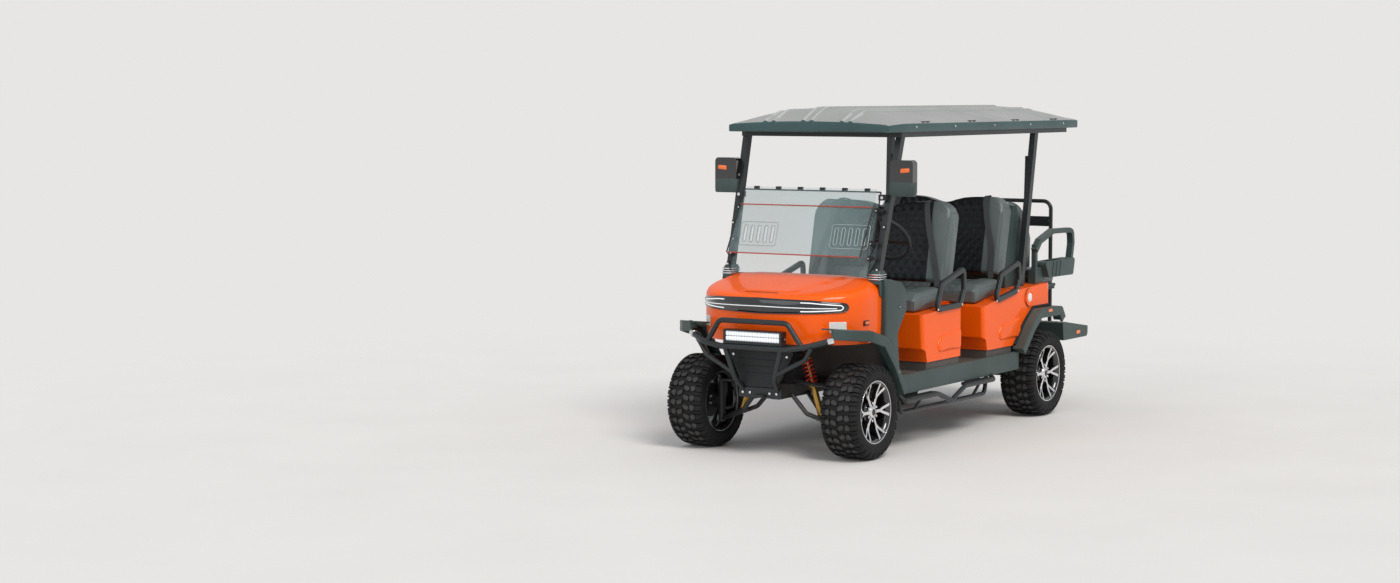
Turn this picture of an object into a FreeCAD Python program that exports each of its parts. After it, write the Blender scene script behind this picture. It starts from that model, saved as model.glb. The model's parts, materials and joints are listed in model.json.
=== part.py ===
import FreeCAD, Part
import math
import os

import Sketcher

# Six-seat golf cart with lifted suspension.
# Everything is drawn in millimetres in the axle frame: X to the driver's side, Y rearward from the
# front axle and Z up from the ground. Each sub-part's Placement then moves it to the row's origin,
# which lies on the ground under the middle of the cart.

Vector = FreeCAD.Vector
doc = FreeCAD.newDocument("golf_cart")
sheet = doc.addObject("Spreadsheet::Sheet", "sizes")

# Driving sizes: name, value in millimetres or degrees
SIZES = [
    ("front_reach", 370), ("rear_reach", 930), ("row_pitch", 870), ("row_to_axle", 885), ("half_track", 550),
    ("tyre_radius", 292), ("tyre_width", 254), ("lug_high", 11), ("lug_wide", 36), ("rim_radius", 182),
    ("rim_width", 216), ("rim_wall", 11), ("spoke_face", 88), ("disc_radius", 106),
    ("kingpin_inset", 110), ("spindle_radius", 15), ("pin_gap", 0.3),
    ("frame_half", 240), ("horn_half", 130), ("frame_rail", 60), ("frame_top", 440), ("frame_depth", 80),
    ("floor_thick", 20), ("floor_inset", 10), ("floor_front", 360), ("rocker_thick", 32), ("rocker_drop", 85), ("fender_proud", 100),
    ("sill_front", 382), ("cowl_inset", 40), ("cowl_rear", 250), ("cowl_low", 700), ("cowl_high", 1092),
    ("nose_high", 986), ("nose_reach", 280), ("panel_thick", 8), ("lamp_low", 888), ("lamp_proud", 4),
    ("box_half", 600), ("box_wall", 12), ("corner_round", 26), ("plinth_high", 60), ("box_front", 745),
    ("box_deep", 520), ("box_high_front", 826), ("box_high_rear", 855), ("kick_high", 90), ("kick_deep", 50),
    ("body_high_front", 813), ("body_high_mid", 891), ("body_high_rear", 910),
    ("cushion_inset", 85), ("cushion_deep", 400), ("cushion_top", 968), ("soft_gap", 0.4), ("rim_rest", 30),
    ("back_low", 990), ("back_high", 1520), ("back_lean", 110), ("back_thick", 135),
    ("roof_low", 1980), ("roof_side", 60), ("roof_rise", 90), ("roof_front", 306), ("roof_overhang", 630),
    ("roof_inset", 10), ("roof_wall", 22), ("rib_wide", 24), ("pillar_wide", 40), ("pillar_deep", 50),
    ("guard_tube", 19), ("hoop_tube", 16), ("step_tube", 14), ("bar_tube", 14), ("loop_wide", 38),
    ("loop_thick", 28), ("deck_hinge_z", 870), ("rear_cushion_deep", 340), ("hinge_barrel", 5),
    ("wheel_tilt", 38), ("wheel_hub_x", 300), ("wheel_hub_y", 780), ("wheel_hub_z", 1300),
    ("wheel_ring", 168), ("ring_tube", 13), ("coil_wire", 6), ("coil_radius", 31), ("coil_turns", 6),
    ("door_radius", 64), ("door_thick", 7),
]
for row, (name, value) in enumerate(SIZES, start=1):
    sheet.set("A%d" % row, name)
    sheet.set("B%d" % row, str(value))
    sheet.setAlias("B%d" % row, name)
doc.recompute()


class Sizes:
    """The sheet's values by name."""

    def __getattr__(self, name):
        return float(sheet.get(name))


s = Sizes()

# Places that follow from the driving sizes: the second row, the rear axle and the floor
SECOND_ROW = "box_front+row_pitch"
REAR_AXLE = "box_front+row_pitch+row_to_axle"
PLINTH_TOP = "frame_top+floor_thick+plinth_high"
box_rear = s.box_front + s.box_deep
second_row = s.box_front + s.row_pitch
rear_axle_y = second_row + s.row_to_axle
floor_top = s.frame_top + s.floor_thick
plinth_top = floor_top + s.plinth_high
floor_rear = rear_axle_y - s.tyre_radius - 28
floor_half = s.box_half - s.floor_inset
cowl_half = s.box_half - s.cowl_inset
roof_half = s.box_half - s.roof_inset
roof_edge = s.roof_low + s.roof_side
roof_crown = roof_edge + s.roof_rise
sill_half = floor_half + s.rocker_thick
fender_half = floor_half + s.fender_proud
kingpin_x = s.half_track - s.kingpin_inset
rest_end = rear_axle_y + s.rear_reach
sill_low = s.frame_top - s.rocker_drop
cushion_half = s.box_half - s.cushion_inset
body_rear = rear_axle_y + 130
deck_hinge_y = rear_axle_y + 485
front_axle_y = s.front_reach - (s.front_reach + rear_axle_y + s.rear_reach) / 2
TO_ROW = FreeCAD.Placement(Vector(0, front_axle_y, 0), FreeCAD.Rotation())
parts = []


# Helpers for sub-parts and sketches
def keep(obj, label):
    """Name a sub-part, move it to the row's origin and list it for export."""
    obj.Label = label
    obj.Placement = TO_ROW.multiply(obj.Placement)
    parts.append(obj)
    return obj


def shaped(label, shape):
    """A sub-part whose shape is worked out by code from the sheet's values."""
    obj = doc.addObject("Part::Feature", label)
    obj.Shape = shape
    return keep(obj, label)


def bind(text):
    """Put the sheet's name before each size in an expression."""
    words = text.replace("+", " + ").replace("-", " - ").replace("*", " * ").replace("/", " / ").split()
    names = {name for name, value in SIZES}
    return " ".join("sizes." + word if word in names else word for word in words)


def number(text):
    """Value of a sum of sizes and numbers, each term a product or a quotient."""
    total = 0.0
    for term in text.replace(" ", "").replace("-", "+-").split("+"):
        if not term:
            continue
        value = -1.0 if term.startswith("-") else 1.0
        for factor in term.lstrip("-").split("*"):
            amounts = [float(sheet.get(word)) if word[0].isalpha() else float(word) for word in factor.split("/")]
            value *= amounts[0]
            for amount in amounts[1:]:
                value /= amount
        total += value
    return total


def outline_sketch(body, plane_role, outline, name):
    """Closed outline of straight lines whose corners are bound to the sheet."""
    plane = [f for f in body.Origin.OriginFeatures if f.Role == plane_role][0]
    sketch = body.newObject("Sketcher::SketchObject", name)
    sketch.AttachmentSupport = [(plane, "")]
    sketch.MapMode = "FlatFace"
    values = [(number(across), number(up)) for across, up in outline]
    count = len(values)
    for i in range(count):
        start = Vector(values[i][0], values[i][1], 0)
        end = Vector(values[(i + 1) % count][0], values[(i + 1) % count][1], 0)
        sketch.addGeometry(Part.LineSegment(start, end), False)
    for i in range(count):
        sketch.addConstraint(Sketcher.Constraint("Coincident", i, 2, (i + 1) % count, 1))
    for i, corner in enumerate(outline):
        for kind, text, value in zip(("DistanceX", "DistanceY"), corner, values[i]):
            index = sketch.addConstraint(Sketcher.Constraint(kind, -1, 1, i, 1, value))
            sketch.setExpression("Constraints[%d]" % index, bind(text))
    return sketch


def side_profile_body(label, outline, width, hollows=()):
    """Body padded evenly to both sides of the middle plane from a side outline (Y, Z), less its hollows."""
    body = doc.addObject("PartDesign::Body", label)
    pad = body.newObject("PartDesign::Pad", label + "_pad")
    pad.Profile = outline_sketch(body, "YZ_Plane", outline, label + "_outline")
    pad.SideType = "Symmetric"
    pad.setExpression("Length", bind(width))
    doc.recompute()
    for name, hollow, hollow_width in hollows:
        solid_volume = body.Shape.Volume
        pocket = body.newObject("PartDesign::Pocket", label + "_" + name)
        pocket.Profile = outline_sketch(body, "YZ_Plane", hollow, label + "_" + name + "_outline")
        pocket.SideType = "Symmetric"
        pocket.setExpression("Length", bind(hollow_width))
        doc.recompute()
        assert body.Shape.Volume < solid_volume, label
    return body


def round_corners(body, radius, wanted):
    """Fillet on the edges of the body's last feature that pass the test."""
    base = body.Tip
    names = ["Edge%d" % (i + 1) for i, edge in enumerate(base.Shape.Edges) if wanted(edge)]
    assert names, body.Label
    fillet = body.newObject("PartDesign::Fillet", body.Label + "_corners")
    fillet.Base = (base, names)
    fillet.setExpression("Radius", bind(radius))
    doc.recompute()


def primitive(kind, name, sizes, place, rotation=None):
    """Part primitive whose sizes are bound to the sheet."""
    obj = doc.addObject(kind, name)
    for key, text in sizes.items():
        if text.isdigit():
            setattr(obj, key, int(text))
        else:
            obj.setExpression(key, bind(text))
    doc.recompute()
    obj.Placement = FreeCAD.Placement(place, rotation or FreeCAD.Rotation())
    return obj


# Helpers for outlines
def bend_points(points, bend, step=30):
    """Corners of a line whose bends are cut into short straight runs round an arc."""
    corners = [Vector(*p) for p in points]
    run = [corners[0]]
    for before, corner, after in zip(corners, corners[1:], corners[2:]):
        back = (before - corner).normalize()
        ahead = (after - corner).normalize()
        half_angle = back.getAngle(ahead) / 2
        turn = math.pi - 2 * half_angle
        count = max(1, math.ceil(math.degrees(turn) / step))
        centre = corner + (back + ahead).normalize() * (bend / math.sin(half_angle))
        start = corner + back * (bend / math.tan(half_angle)) - centre
        end = corner + ahead * (bend / math.tan(half_angle)) - centre
        axis = start.cross(end)
        for i in range(count):
            spin = FreeCAD.Rotation(axis, math.degrees(turn) * (i + 0.5) / count)
            run.append(centre + spin.multVec(start) * (1 / math.cos(turn / count / 2)))
    run.append(corners[-1])
    return run


def rounded(outline, bend, step=30):
    """Closed outline with its corners rounded in short straight steps."""
    start = ((outline[0][0] + outline[-1][0]) / 2, (outline[0][1] + outline[-1][1]) / 2)
    line = [start] + list(outline) + [start]
    return [(p.x, p.y) for p in bend_points([(a, b, 0) for a, b in line], bend, step)[:-1]]


def rounded_line(line, bend, step=30):
    """Open line with its corners rounded in short straight steps."""
    return [(p.x, p.y) for p in bend_points([(a, b, 0) for a, b in line], bend, step)]


def band(line, thick):
    """Outline of a strip of even thickness laid on the left side of an open line."""
    normals = []
    for (y0, z0), (y1, z1) in zip(line, line[1:]):
        length = math.hypot(y1 - y0, z1 - z0)
        normals.append((-(z1 - z0) / length, (y1 - y0) / length))
    far = []
    for i, (y, z) in enumerate(line):
        before = normals[max(i - 1, 0)]
        after = normals[min(i, len(normals) - 1)]
        sum_y = before[0] + after[0]
        sum_z = before[1] + after[1]
        scale = thick * 2 / (sum_y ** 2 + sum_z ** 2)
        far.append((y + sum_y * scale, z + sum_z * scale))
    return list(line) + far[::-1]


def inset(outline, distance):
    """Closed outline moved to its left side by one distance."""
    closed = [outline[-1]] + list(outline) + [outline[0]]
    strip = band(closed, distance)
    return strip[len(closed):][::-1][1:-1]


# Helpers for solids
def face_of(corners):
    return Part.Face(Part.makePolygon(corners + corners[:1]))


def prism_x(outline, low_x, high_x):
    """Side outline (Y, Z) drawn out along X."""
    return face_of([Vector(low_x, y, z) for y, z in outline]).extrude(Vector(high_x - low_x, 0, 0))


def prism_y(outline, low_y, high_y):
    """Front outline (X, Z) drawn out along Y."""
    return face_of([Vector(x, low_y, z) for x, z in outline]).extrude(Vector(0, high_y - low_y, 0))


def prism_z(outline, low_z, high_z):
    """Plan outline (X, Y) drawn out along Z."""
    return face_of([Vector(x, y, low_z) for x, y in outline]).extrude(Vector(0, 0, high_z - low_z))


def box(low, high):
    """Box between two opposite corners."""
    return Part.makeBox(high[0] - low[0], high[1] - low[1], high[2] - low[2], Vector(*low))


def facet_solid(rings):
    """Solid with flat faces between matching rings of corners."""
    faces = [face_of(rings[0]), face_of(rings[-1])]
    for near, far in zip(rings, rings[1:]):
        for i in range(len(near)):
            j = (i + 1) % len(near)
            faces.append(face_of([near[i], near[j], far[j], far[i]]))
    solid = Part.Solid(Part.Shell(faces))
    if solid.Volume < 0:
        solid.reverse()
    return solid


def polygon_ring(centre, way, radius, sides):
    """Corners of a regular polygon round a point, square to a direction; its flats lie at the radius."""
    way = Vector(way).normalize()
    side = Vector(0, 0, 1) if abs(way.x) > 0.9 else Vector(1, 0, 0)
    across = way.cross(side).normalize()
    up = across.cross(way).normalize()
    reach = radius / math.cos(math.pi / sides)
    ring = []
    for i in range(sides):
        angle = 2 * math.pi * (i + 0.5) / sides
        ring.append(Vector(centre) + across * (reach * math.cos(angle)) + up * (reach * math.sin(angle)))
    return ring


def rod(start, end, radius, sides=12):
    """Straight many-sided rod between two points."""
    way = Vector(*end) - Vector(*start)
    return facet_solid([polygon_ring(Vector(*p), way, radius, sides) for p in (start, end)])


def turned(profile, sides):
    """Many-sided turned piece about the X axis from a table of (x, radius)."""
    return facet_solid([polygon_ring(Vector(x, 0, 0), Vector(1, 0, 0), radius, sides) for x, radius in profile])


def sweep(corners, radius, sides=8):
    """Bar of even section along a line of corners, mitred where it bends."""
    ring = polygon_ring(corners[0], corners[1] - corners[0], radius, sides)
    shell = Part.BRepOffsetAPI.MakePipeShell(Part.makePolygon(corners))
    shell.setTransitionMode(1)
    shell.add(Part.makePolygon(ring + ring[:1]))
    shell.build()
    shell.makeSolid()
    return shell.shape()


def tube(points, radius, bend=60):
    """Bar along bent runs."""
    return sweep(bend_points(points, bend), radius)


def flip(shape):
    """The same shape on the other side of the cart."""
    return shape.mirror(Vector(0, 0, 0), Vector(1, 0, 0))


def pair(shape):
    """Left and right copies as one shape of two solids."""
    return Part.makeCompound([shape, flip(shape)])


def both_halves(shape):
    """The shape's driver's side joined to its own mirror image."""
    half = shape.common(box((0, -1000, 0), (1000, 4000, 2500)))
    return whole(half.fuse(flip(half)))


def whole(shape):
    """One clean solid from a fused or cut shape."""
    return shape.removeSplitter()


def joined(pieces):
    shape = pieces[0].fuse(pieces[1:])
    return whole(shape)


def slanted_bar(foot, head, wide, deep):
    """Upright bar with a level rectangular section that leans from foot to head."""
    x, y, z = foot
    corners = [Vector(x - wide / 2, y - deep / 2, z), Vector(x + wide / 2, y - deep / 2, z),
               Vector(x + wide / 2, y + deep / 2, z), Vector(x - wide / 2, y + deep / 2, z)]
    return face_of(corners).extrude(Vector(*head) - Vector(*foot))


# Chassis
def build_chassis():
    rail_in = s.frame_half - s.frame_rail
    low = s.frame_top - s.frame_depth
    front = -250
    rear = rest_end - 30
    rail = box((rail_in, 300, low), (s.frame_half, rear, s.frame_top))
    horn = box((s.horn_half - s.frame_rail, front, low), (s.horn_half, 330, s.frame_top))
    pieces = [rail, flip(rail), horn, flip(horn),
              box((-s.horn_half, front, low + 10), (s.horn_half, front + 50, s.frame_top - 5)),
              box((-s.horn_half + 5, -45, low + 10), (s.horn_half - 5, 45, s.frame_top - 5))]
    for y in (300, 620, second_row - 215, floor_rear, rear_axle_y + 400):
        pieces.append(box((-rail_in - 5, y, low + 10), (rail_in + 5, y + 50, s.frame_top - 5)))
    for y in (520, second_row - 215, floor_rear - 100):
        pieces.append(box((-floor_half + 10, y, s.frame_top - 40), (floor_half - 10, y + 40, s.frame_top)))
    tower_top = 640
    tower = prism_x([(-85, s.frame_top - 60), (85, s.frame_top - 60), (85, s.frame_top + 60), (40, tower_top),
                     (-40, tower_top), (-85, s.frame_top + 60)], s.horn_half - s.frame_rail, s.horn_half - 10)
    lug = box((s.horn_half - 15, -20, 600), (s.horn_half + 20, 20, 628))
    foot = box((rail_in, rest_end - 390, s.frame_top - 5), (s.frame_half, rear, s.frame_top + 30))
    post = box((rail_in, rear_axle_y + 300, s.frame_top - 5), (s.frame_half, rear_axle_y + 360, 842))
    for piece in (tower, lug, foot, post):
        pieces += [piece, flip(piece)]
    eye = prism_z(rounded([(-40, front + 5), (-40, -300), (40, -300), (40, front + 5)], 18), low + 12, low + 24)
    pieces.append(eye.cut(Part.makeCylinder(13, 20, Vector(0, -275, low + 8))))
    return joined(pieces)


def build_floor():
    under = s.frame_top
    toe_high = 715
    outline = [(s.floor_front, under), (floor_rear, under), (floor_rear, floor_top),
               (s.floor_front + 6, floor_top), (270, toe_high), (255, toe_high)]
    pieces = [prism_x(outline, -floor_half + 50, floor_half - 50),
              box((-floor_half, 450, under), (floor_half, floor_rear, floor_top))]
    inset_y = 6
    pieces.append(box((-floor_half, s.box_front + s.kick_deep + inset_y, floor_top - 1),
                      (floor_half, box_rear - inset_y, plinth_top)))
    pieces.append(box((-floor_half, second_row + s.kick_deep + inset_y, floor_top - 1),
                      (floor_half, rear_axle_y - 446, plinth_top)))
    for y in range(480, int(s.box_front), 60):
        pieces.append(box((-floor_half + 60, y, floor_top - 1), (floor_half - 60, y + 12, floor_top + 3)))
    for y in range(int(box_rear) + 40, int(second_row), 60):
        pieces.append(box((-floor_half + 60, y, floor_top - 1), (floor_half - 60, y + 12, floor_top + 3)))
    return joined(pieces)


def build_rockers(rear_fenders):
    rear = floor_rear - 70
    front = s.sill_front
    side = rounded([(front, sill_low + 20), (front + 20, sill_low), (rear, sill_low),
                    (rear, floor_top + 15), (front, floor_top + 15)], 8, 45)
    rocker = prism_x(side, floor_half, sill_half)
    lip = prism_x([(front + 68, sill_low), (rear - 50, sill_low), (rear - 50, sill_low + 10),
                   (front + 68, sill_low + 10)], floor_half - 30, floor_half + 1)
    return pair(whole(rocker.fuse(lip))).cut(rear_fenders)


# Nose panels
def nose_section(half, reach, rear_z, front_z, cut_back=0.0):
    """Level or sloping section of the nose: half width, reach forward of the axle, heights at its rear
    and front edges, and how far its rear edge lies behind the cowl's."""
    rear = s.cowl_rear
    scale_x = half / cowl_half
    scale_y = (reach + rear) / (s.nose_reach + rear)

    def place(x, y):
        far = rear + (y - rear) * scale_y
        slope = (rear_z - front_z) / (reach + rear)
        if y == rear:
            far = rear + cut_back
        return Vector(x * scale_x, far, rear_z + (far - rear) * slope)

    corners = [(560, rear), (560, 70), (543, -5), (508, -75), (436, -152), (344, -212), (0, -s.nose_reach)]
    right = [place(x, y) for x, y in corners]
    left = [Vector(-p.x, p.y, p.z) for p in right]
    edges = [Part.LineSegment(right[0], right[1]), Part.Arc(right[1], right[2], right[3]),
             Part.Arc(right[3], right[4], right[5]), Part.Arc(right[5], right[6], left[5]),
             Part.Arc(left[5], left[4], left[3]), Part.Arc(left[3], left[2], left[1]),
             Part.LineSegment(left[1], left[0]), Part.LineSegment(left[0], right[0])]
    return Part.Wire([edge.toShape() for edge in edges])


def build_cowl():
    half = cowl_half
    reach = s.nose_reach
    high = s.cowl_high
    # Columns: half width, reach, height at the rear, height at the front
    outer_table = [(half - 6, reach - 22, s.cowl_low, s.cowl_low), (half, reach, 850, 850),
                   (half, reach, 962, 950), (half - 16, reach - 4, high - 52, s.nose_high - 12),
                   (half - 52, reach - 14, high - 20, s.nose_high), (half - 120, reach - 34, high - 4, s.nose_high + 6),
                   (half - 300, reach - 80, high, s.nose_high + 18)]
    outer = Part.makeLoft([nose_section(*row) for row in outer_table], True, True)
    wall = s.panel_thick
    inner_table = [(half - 6 - wall, reach - 22 - wall, s.cowl_low - 1, s.cowl_low - 1, wall),
                   (half - wall, reach - wall, 950, 942, wall),
                   (half - 56 - wall, reach - 14 - wall, high - 22 - wall, s.nose_high - wall - 2, wall),
                   (half - 300, reach - 80, high - wall - 3, s.nose_high + 18 - wall, wall)]
    inner = Part.makeLoft([nose_section(*row) for row in inner_table], True, True)
    return outer, outer.cut(inner)


def nose_ring(grow_in, grow_out):
    """Upright ring of the nose's plan between two offsets, over the lamp's height."""
    def drum(grow, low, high):
        wire = nose_section(cowl_half + grow, s.nose_reach + grow, low, low)
        return Part.Face(wire).extrude(Vector(0, 0, high - low))
    return drum(grow_out, 850, 1020).cut(drum(grow_in, 840, 1030))


def build_lamps():
    low = s.lamp_low
    lens_line = [(-508, low + 14), (-500, low + 67), (-330, low + 84), (0, low + 92), (330, low + 84),
                 (500, low + 67), (508, low + 14), (330, low + 5), (0, low), (-330, low + 5)]
    proud = s.lamp_proud
    panel = nose_ring(3 - s.panel_thick, proud).common(prism_y(lens_line, -s.nose_reach - 60, 0))
    skin = nose_ring(proud, 2 * proud)
    bracket = [(500, low + 62), (350, low + 78), (350, low + 68), (484, low + 52), (488, low + 28), (350, low + 20),
               (350, low + 10), (504, low + 18)]
    strip = skin.common(prism_y(bracket, -s.nose_reach - 60, 0))
    line = skin.common(prism_y([(-340, low + 42), (340, low + 42), (340, low + 49), (-340, low + 49)],
                               -s.nose_reach - 60, 0))
    return panel, Part.makeCompound([strip, flip(strip), line])


# Wheel-arch flares
def build_front_fenders(cowl_outer):
    top = [(352, 391), (240, 556), (84, 748), (-111, 798), (-300, 818)]
    top = rounded_line(top, 60)
    arch_out = fender_half
    plan = [(400, -262), (arch_out - 192, -262), (arch_out - 90, -205), (arch_out, -95), (arch_out, 400), (400, 400)]
    zone = prism_z(plan, 300, 900)
    sheet_top = prism_x(band(top, 10), 430, arch_out).cut(box((400, -100, 380), (floor_half, 400, 742)))
    lip = prism_x(band(top, 42), arch_out - 50, arch_out)
    front_lip = prism_z(band([(arch_out - 192, -262), (arch_out - 90, -205), (arch_out, -95)], 40), 700, 900)
    front_lip = front_lip.common(prism_x(band(top, 42), 400, arch_out))
    return pair(whole(joined([sheet_top, lip, front_lip]).common(zone).cut(cowl_outer)))


def build_rear_fenders():
    line = rounded_line([(rear_axle_y + 258, 669), (rear_axle_y + 201, 746), (rear_axle_y - 147, 749),
                         (rear_axle_y - 281, 658), (rear_axle_y - 444, 500)], 50)
    flare = prism_x(band(line, 42), s.box_half, s.box_half + 64)
    bead = prism_x(band(line, 20), s.box_half + 60, s.box_half + 76)
    return pair(joined([flare, bead]))


# Dash and side cheeks
def build_dash():
    cheek_line = [(250, 1088), (470, 1040), (520, 990), (522, 880), (405, 735), (440, 476), (366, 476), (262, 630),
                  (250, 716)]
    cheek = prism_x(rounded(cheek_line, 16, 40), floor_half - 49, floor_half - 5)
    dash_line = [(250, 1088), (470, 1040), (440, 900), (330, 860), (262, 860), (262, 716), (250, 716)]
    dash = prism_x(dash_line, 48 - floor_half, floor_half - 48)
    cubby = box((60, 395, 925), (230, 480, 1005))
    shelf = box((-480, 380, 930), (-60, 480, 1010))
    return joined([dash.cut(cubby).cut(shelf), cheek, flip(cheek)])


# Seat boxes: side outlines of the shells, their hollows and the openings under the cushions
kick_top = PLINTH_TOP + "+kick_high"
front_box_outline = [("box_front+kick_deep", PLINTH_TOP), ("box_front+box_deep", PLINTH_TOP),
                     ("box_front+box_deep", "box_high_rear"), ("box_front-20", "box_high_front"),
                     ("box_front", kick_top), ("box_front+kick_deep-20", kick_top + "-20")]
front_box_hollow = [("box_front+kick_deep+box_wall", PLINTH_TOP + "-20"),
                    ("box_front+box_deep-box_wall", PLINTH_TOP + "-20"),
                    ("box_front+box_deep-box_wall", "box_high_rear-box_wall"),
                    ("box_front+box_wall", "box_high_front-box_wall"),
                    ("box_front+2*box_wall", kick_top), ("box_front+kick_deep+box_wall", kick_top + "-20")]
front_box_opening = [("box_front+75", "box_high_front-30"), ("box_front+cushion_deep+30", "box_high_front-30"),
                     ("box_front+cushion_deep+30", "box_high_rear+30"), ("box_front+75", "box_high_rear+30")]
rear_body_outline = [(SECOND_ROW + "+kick_deep", PLINTH_TOP), (SECOND_ROW + "+kick_deep-20", kick_top + "-20"),
                     (SECOND_ROW, kick_top), (SECOND_ROW + "-15", "body_high_front"),
                     (SECOND_ROW + "+525", "body_high_mid"), (REAR_AXLE + "+119", "body_high_rear"),
                     (REAR_AXLE + "+130", "760"), (REAR_AXLE + "-130", "760"), (REAR_AXLE + "-275", "665"),
                     (REAR_AXLE + "-440", PLINTH_TOP)]
rear_body_opening = [(SECOND_ROW + "+75", "body_high_front-30"), (SECOND_ROW + "+425", "body_high_front-30"),
                     (SECOND_ROW + "+425", "body_high_mid+30"), (SECOND_ROW + "+75", "body_high_mid+30")]
rear_body_hollow = [(SECOND_ROW + "+kick_deep+box_wall", PLINTH_TOP + "-20"),
                    (SECOND_ROW + "+kick_deep+box_wall", kick_top + "-20"), (SECOND_ROW + "+2*box_wall", kick_top),
                    (SECOND_ROW + "+box_wall", "body_high_front-box_wall"),
                    (SECOND_ROW + "+525", "body_high_mid-box_wall"), (REAR_AXLE + "+106", "body_high_rear-box_wall"),
                    (REAR_AXLE + "+117", "773"), (REAR_AXLE + "-134", "773"), (REAR_AXLE + "-287", "671"),
                    (REAR_AXLE + "-446", PLINTH_TOP + "-20")]


def build_seat_body(label, outline, hollow, opening, front_y, hinge_z):
    """Hollow seat box with rounded front corners, an opening under its cushion and two hinge barrels."""
    body = side_profile_body(label + "_shell", outline, "2*box_half",
                             [("hollow", hollow, "2*box_half-2*box_wall"),
                              ("opening", opening, "2*box_half-2*cushion_inset-2*rim_rest")])

    def front_corner(edge):
        spot = edge.BoundBox
        return (abs(abs(edge.CenterOfMass.x) - s.box_half) < 0.1 and spot.XLength < 0.1
                and spot.ZLength > 60 and spot.YMin > front_y - 40 and spot.YMax < front_y + 20)

    round_corners(body, "corner_round", front_corner)
    pieces = [body]
    for name, x in (("left", 0.5 * cushion_half), ("right", -0.5 * cushion_half - 60)):
        pieces.append(primitive("Part::Cylinder", label + "_barrel_" + name,
                                {"Radius": "hinge_barrel", "Height": "60*hinge_barrel/5"},
                                Vector(x, front_y + 38, hinge_z), FreeCAD.Rotation(Vector(0, 1, 0), 90)))
        pieces.append(primitive("Part::Box", label + "_leaf_" + name,
                                {"Length": "60*hinge_barrel/5", "Width": "hinge_barrel", "Height": "2*hinge_barrel+2"},
                                Vector(x, front_y + 38 - s.hinge_barrel / 2, hinge_z - 2 * s.hinge_barrel - 2)))
    return pieces


def fuse_of(label, pieces):
    fused = doc.addObject("Part::MultiFuse", label)
    fused.Shapes = pieces
    doc.recompute()
    return keep(fused, label)


# Seats
def cushion_outline(front_y, front_z, rear_y, rear_z):
    """Side outline of a seat cushion that stands on a sloping box top."""
    return [(front_y, front_z + "+soft_gap"), (rear_y, rear_z + "+soft_gap"), (rear_y, "cushion_top-20"),
            (rear_y + "-60", "cushion_top"), (front_y + "+60", "cushion_top-20"), (front_y, "cushion_top-70")]


def back_outline(foot_y):
    """Side outline of a forward-facing backrest."""
    return [(foot_y, "back_low"), (foot_y + "+back_lean-5", "back_high-40"), (foot_y + "+back_lean+20", "back_high-5"),
            (foot_y + "+back_lean+60", "back_high"), (foot_y + "+back_lean+110", "back_high-10"),
            (foot_y + "+back_lean+back_thick", "back_high-45"), (foot_y + "+back_thick", "back_low")]


FRONT_BACK_FOOT = "box_front+cushion_deep+50"
MID_BACK_FOOT = "box_front+row_pitch+cushion_deep+50"
back_behind = s.back_thick + s.soft_gap


def build_back_frame_front():
    foot = number(FRONT_BACK_FOOT) + back_behind
    rise = s.back_high - 50 - s.back_low
    lean = s.back_lean * rise / (s.back_high - 45 - s.back_low)
    half = cushion_half - 45
    shell = prism_x(band([(foot + lean, s.back_high - 50), (foot, s.back_low)], 14), -half, half)
    bar = prism_x([(foot + 1, s.back_low), (foot + 13, s.back_low), (box_rear + 14, 905), (box_rear + 14, 640),
                   (box_rear, 640), (box_rear, 900)], half - 120, half - 50)
    return joined([shell, bar, flip(bar)])


def build_back_frame_rear():
    foot = number(MID_BACK_FOOT) + back_behind
    top = 1455
    lean = s.back_lean * (top - s.back_low) / (s.back_high - 45 - s.back_low)
    behind = rear_axle_y - 30 - s.soft_gap
    rear = rear_axle_y + 20
    outline = [(foot, s.body_high_rear + 2), (foot, s.back_low), (foot + lean, top),
               (behind - 90, top), (behind, 1008), (rear, 1000), (rear, s.body_high_rear + 1)]
    base = [(foot, 885), (rear, 885), (rear, 915), (foot, 915)]
    half = cushion_half - 45
    return joined([prism_x(outline, -half, half), prism_x(base, -half, half)])


def hip_loop(shift, line):
    """Moulded side loop of a seat: closed strap with rounded corners that stands on the box's edge."""
    outline = [(y + shift, z) for y, z in line]
    low_x = s.box_half - s.box_wall
    outer = prism_x(rounded(outline, 34), low_x, low_x + s.loop_thick)
    inner = prism_x(rounded(inset(outline, s.loop_wide), 14, 45), low_x - 1, low_x + s.loop_thick + 1)
    return outer.cut(inner)


def build_armrests():
    y = rear_axle_y
    arch_line = rounded_line([(y + 604, 1050), (y + 632, 1160), (y + 620, 1252), (y + 560, 1272), (y + 273, 1276),
                              (y + 60, 1215), (y - 10, 1150)], 48)
    out = s.box_half
    arch = prism_x(band(arch_line, 34), out - 72, out - 28)
    tray = prism_x(rounded([(y + 73, 1055), (y + 140, 944), (y + 549, 942), (y + 581, 1061)], 22), out - 95, out)
    well = prism_x(rounded([(y + 120, 1100), (y + 165, 975), (y + 395, 972), (y + 400, 1100)], 14, 45), out - 83, out - 12)
    bracket = prism_x([(y, 895), (y + 110, 895), (y + 160, 950), (y + 90, 1020), (y, 1000)], out - 95, out - 40)
    stem = prism_x(band([(y, 1180), (y, 950)], 34), out - 72, out - 40)
    cup = rod((out - 48, y + 460, 970), (out - 48, y + 460, 1070), 37, 20)
    ribs = [prism_x([(y + 190 + step, 946), (y + 202 + step, 946), (y + 224 + step, 1052), (y + 212 + step, 1052)],
                    out - 2, out + 4) for step in (0, 60, 120)]
    return joined([arch, tray.cut(well).cut(cup), bracket, stem] + ribs)


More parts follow.
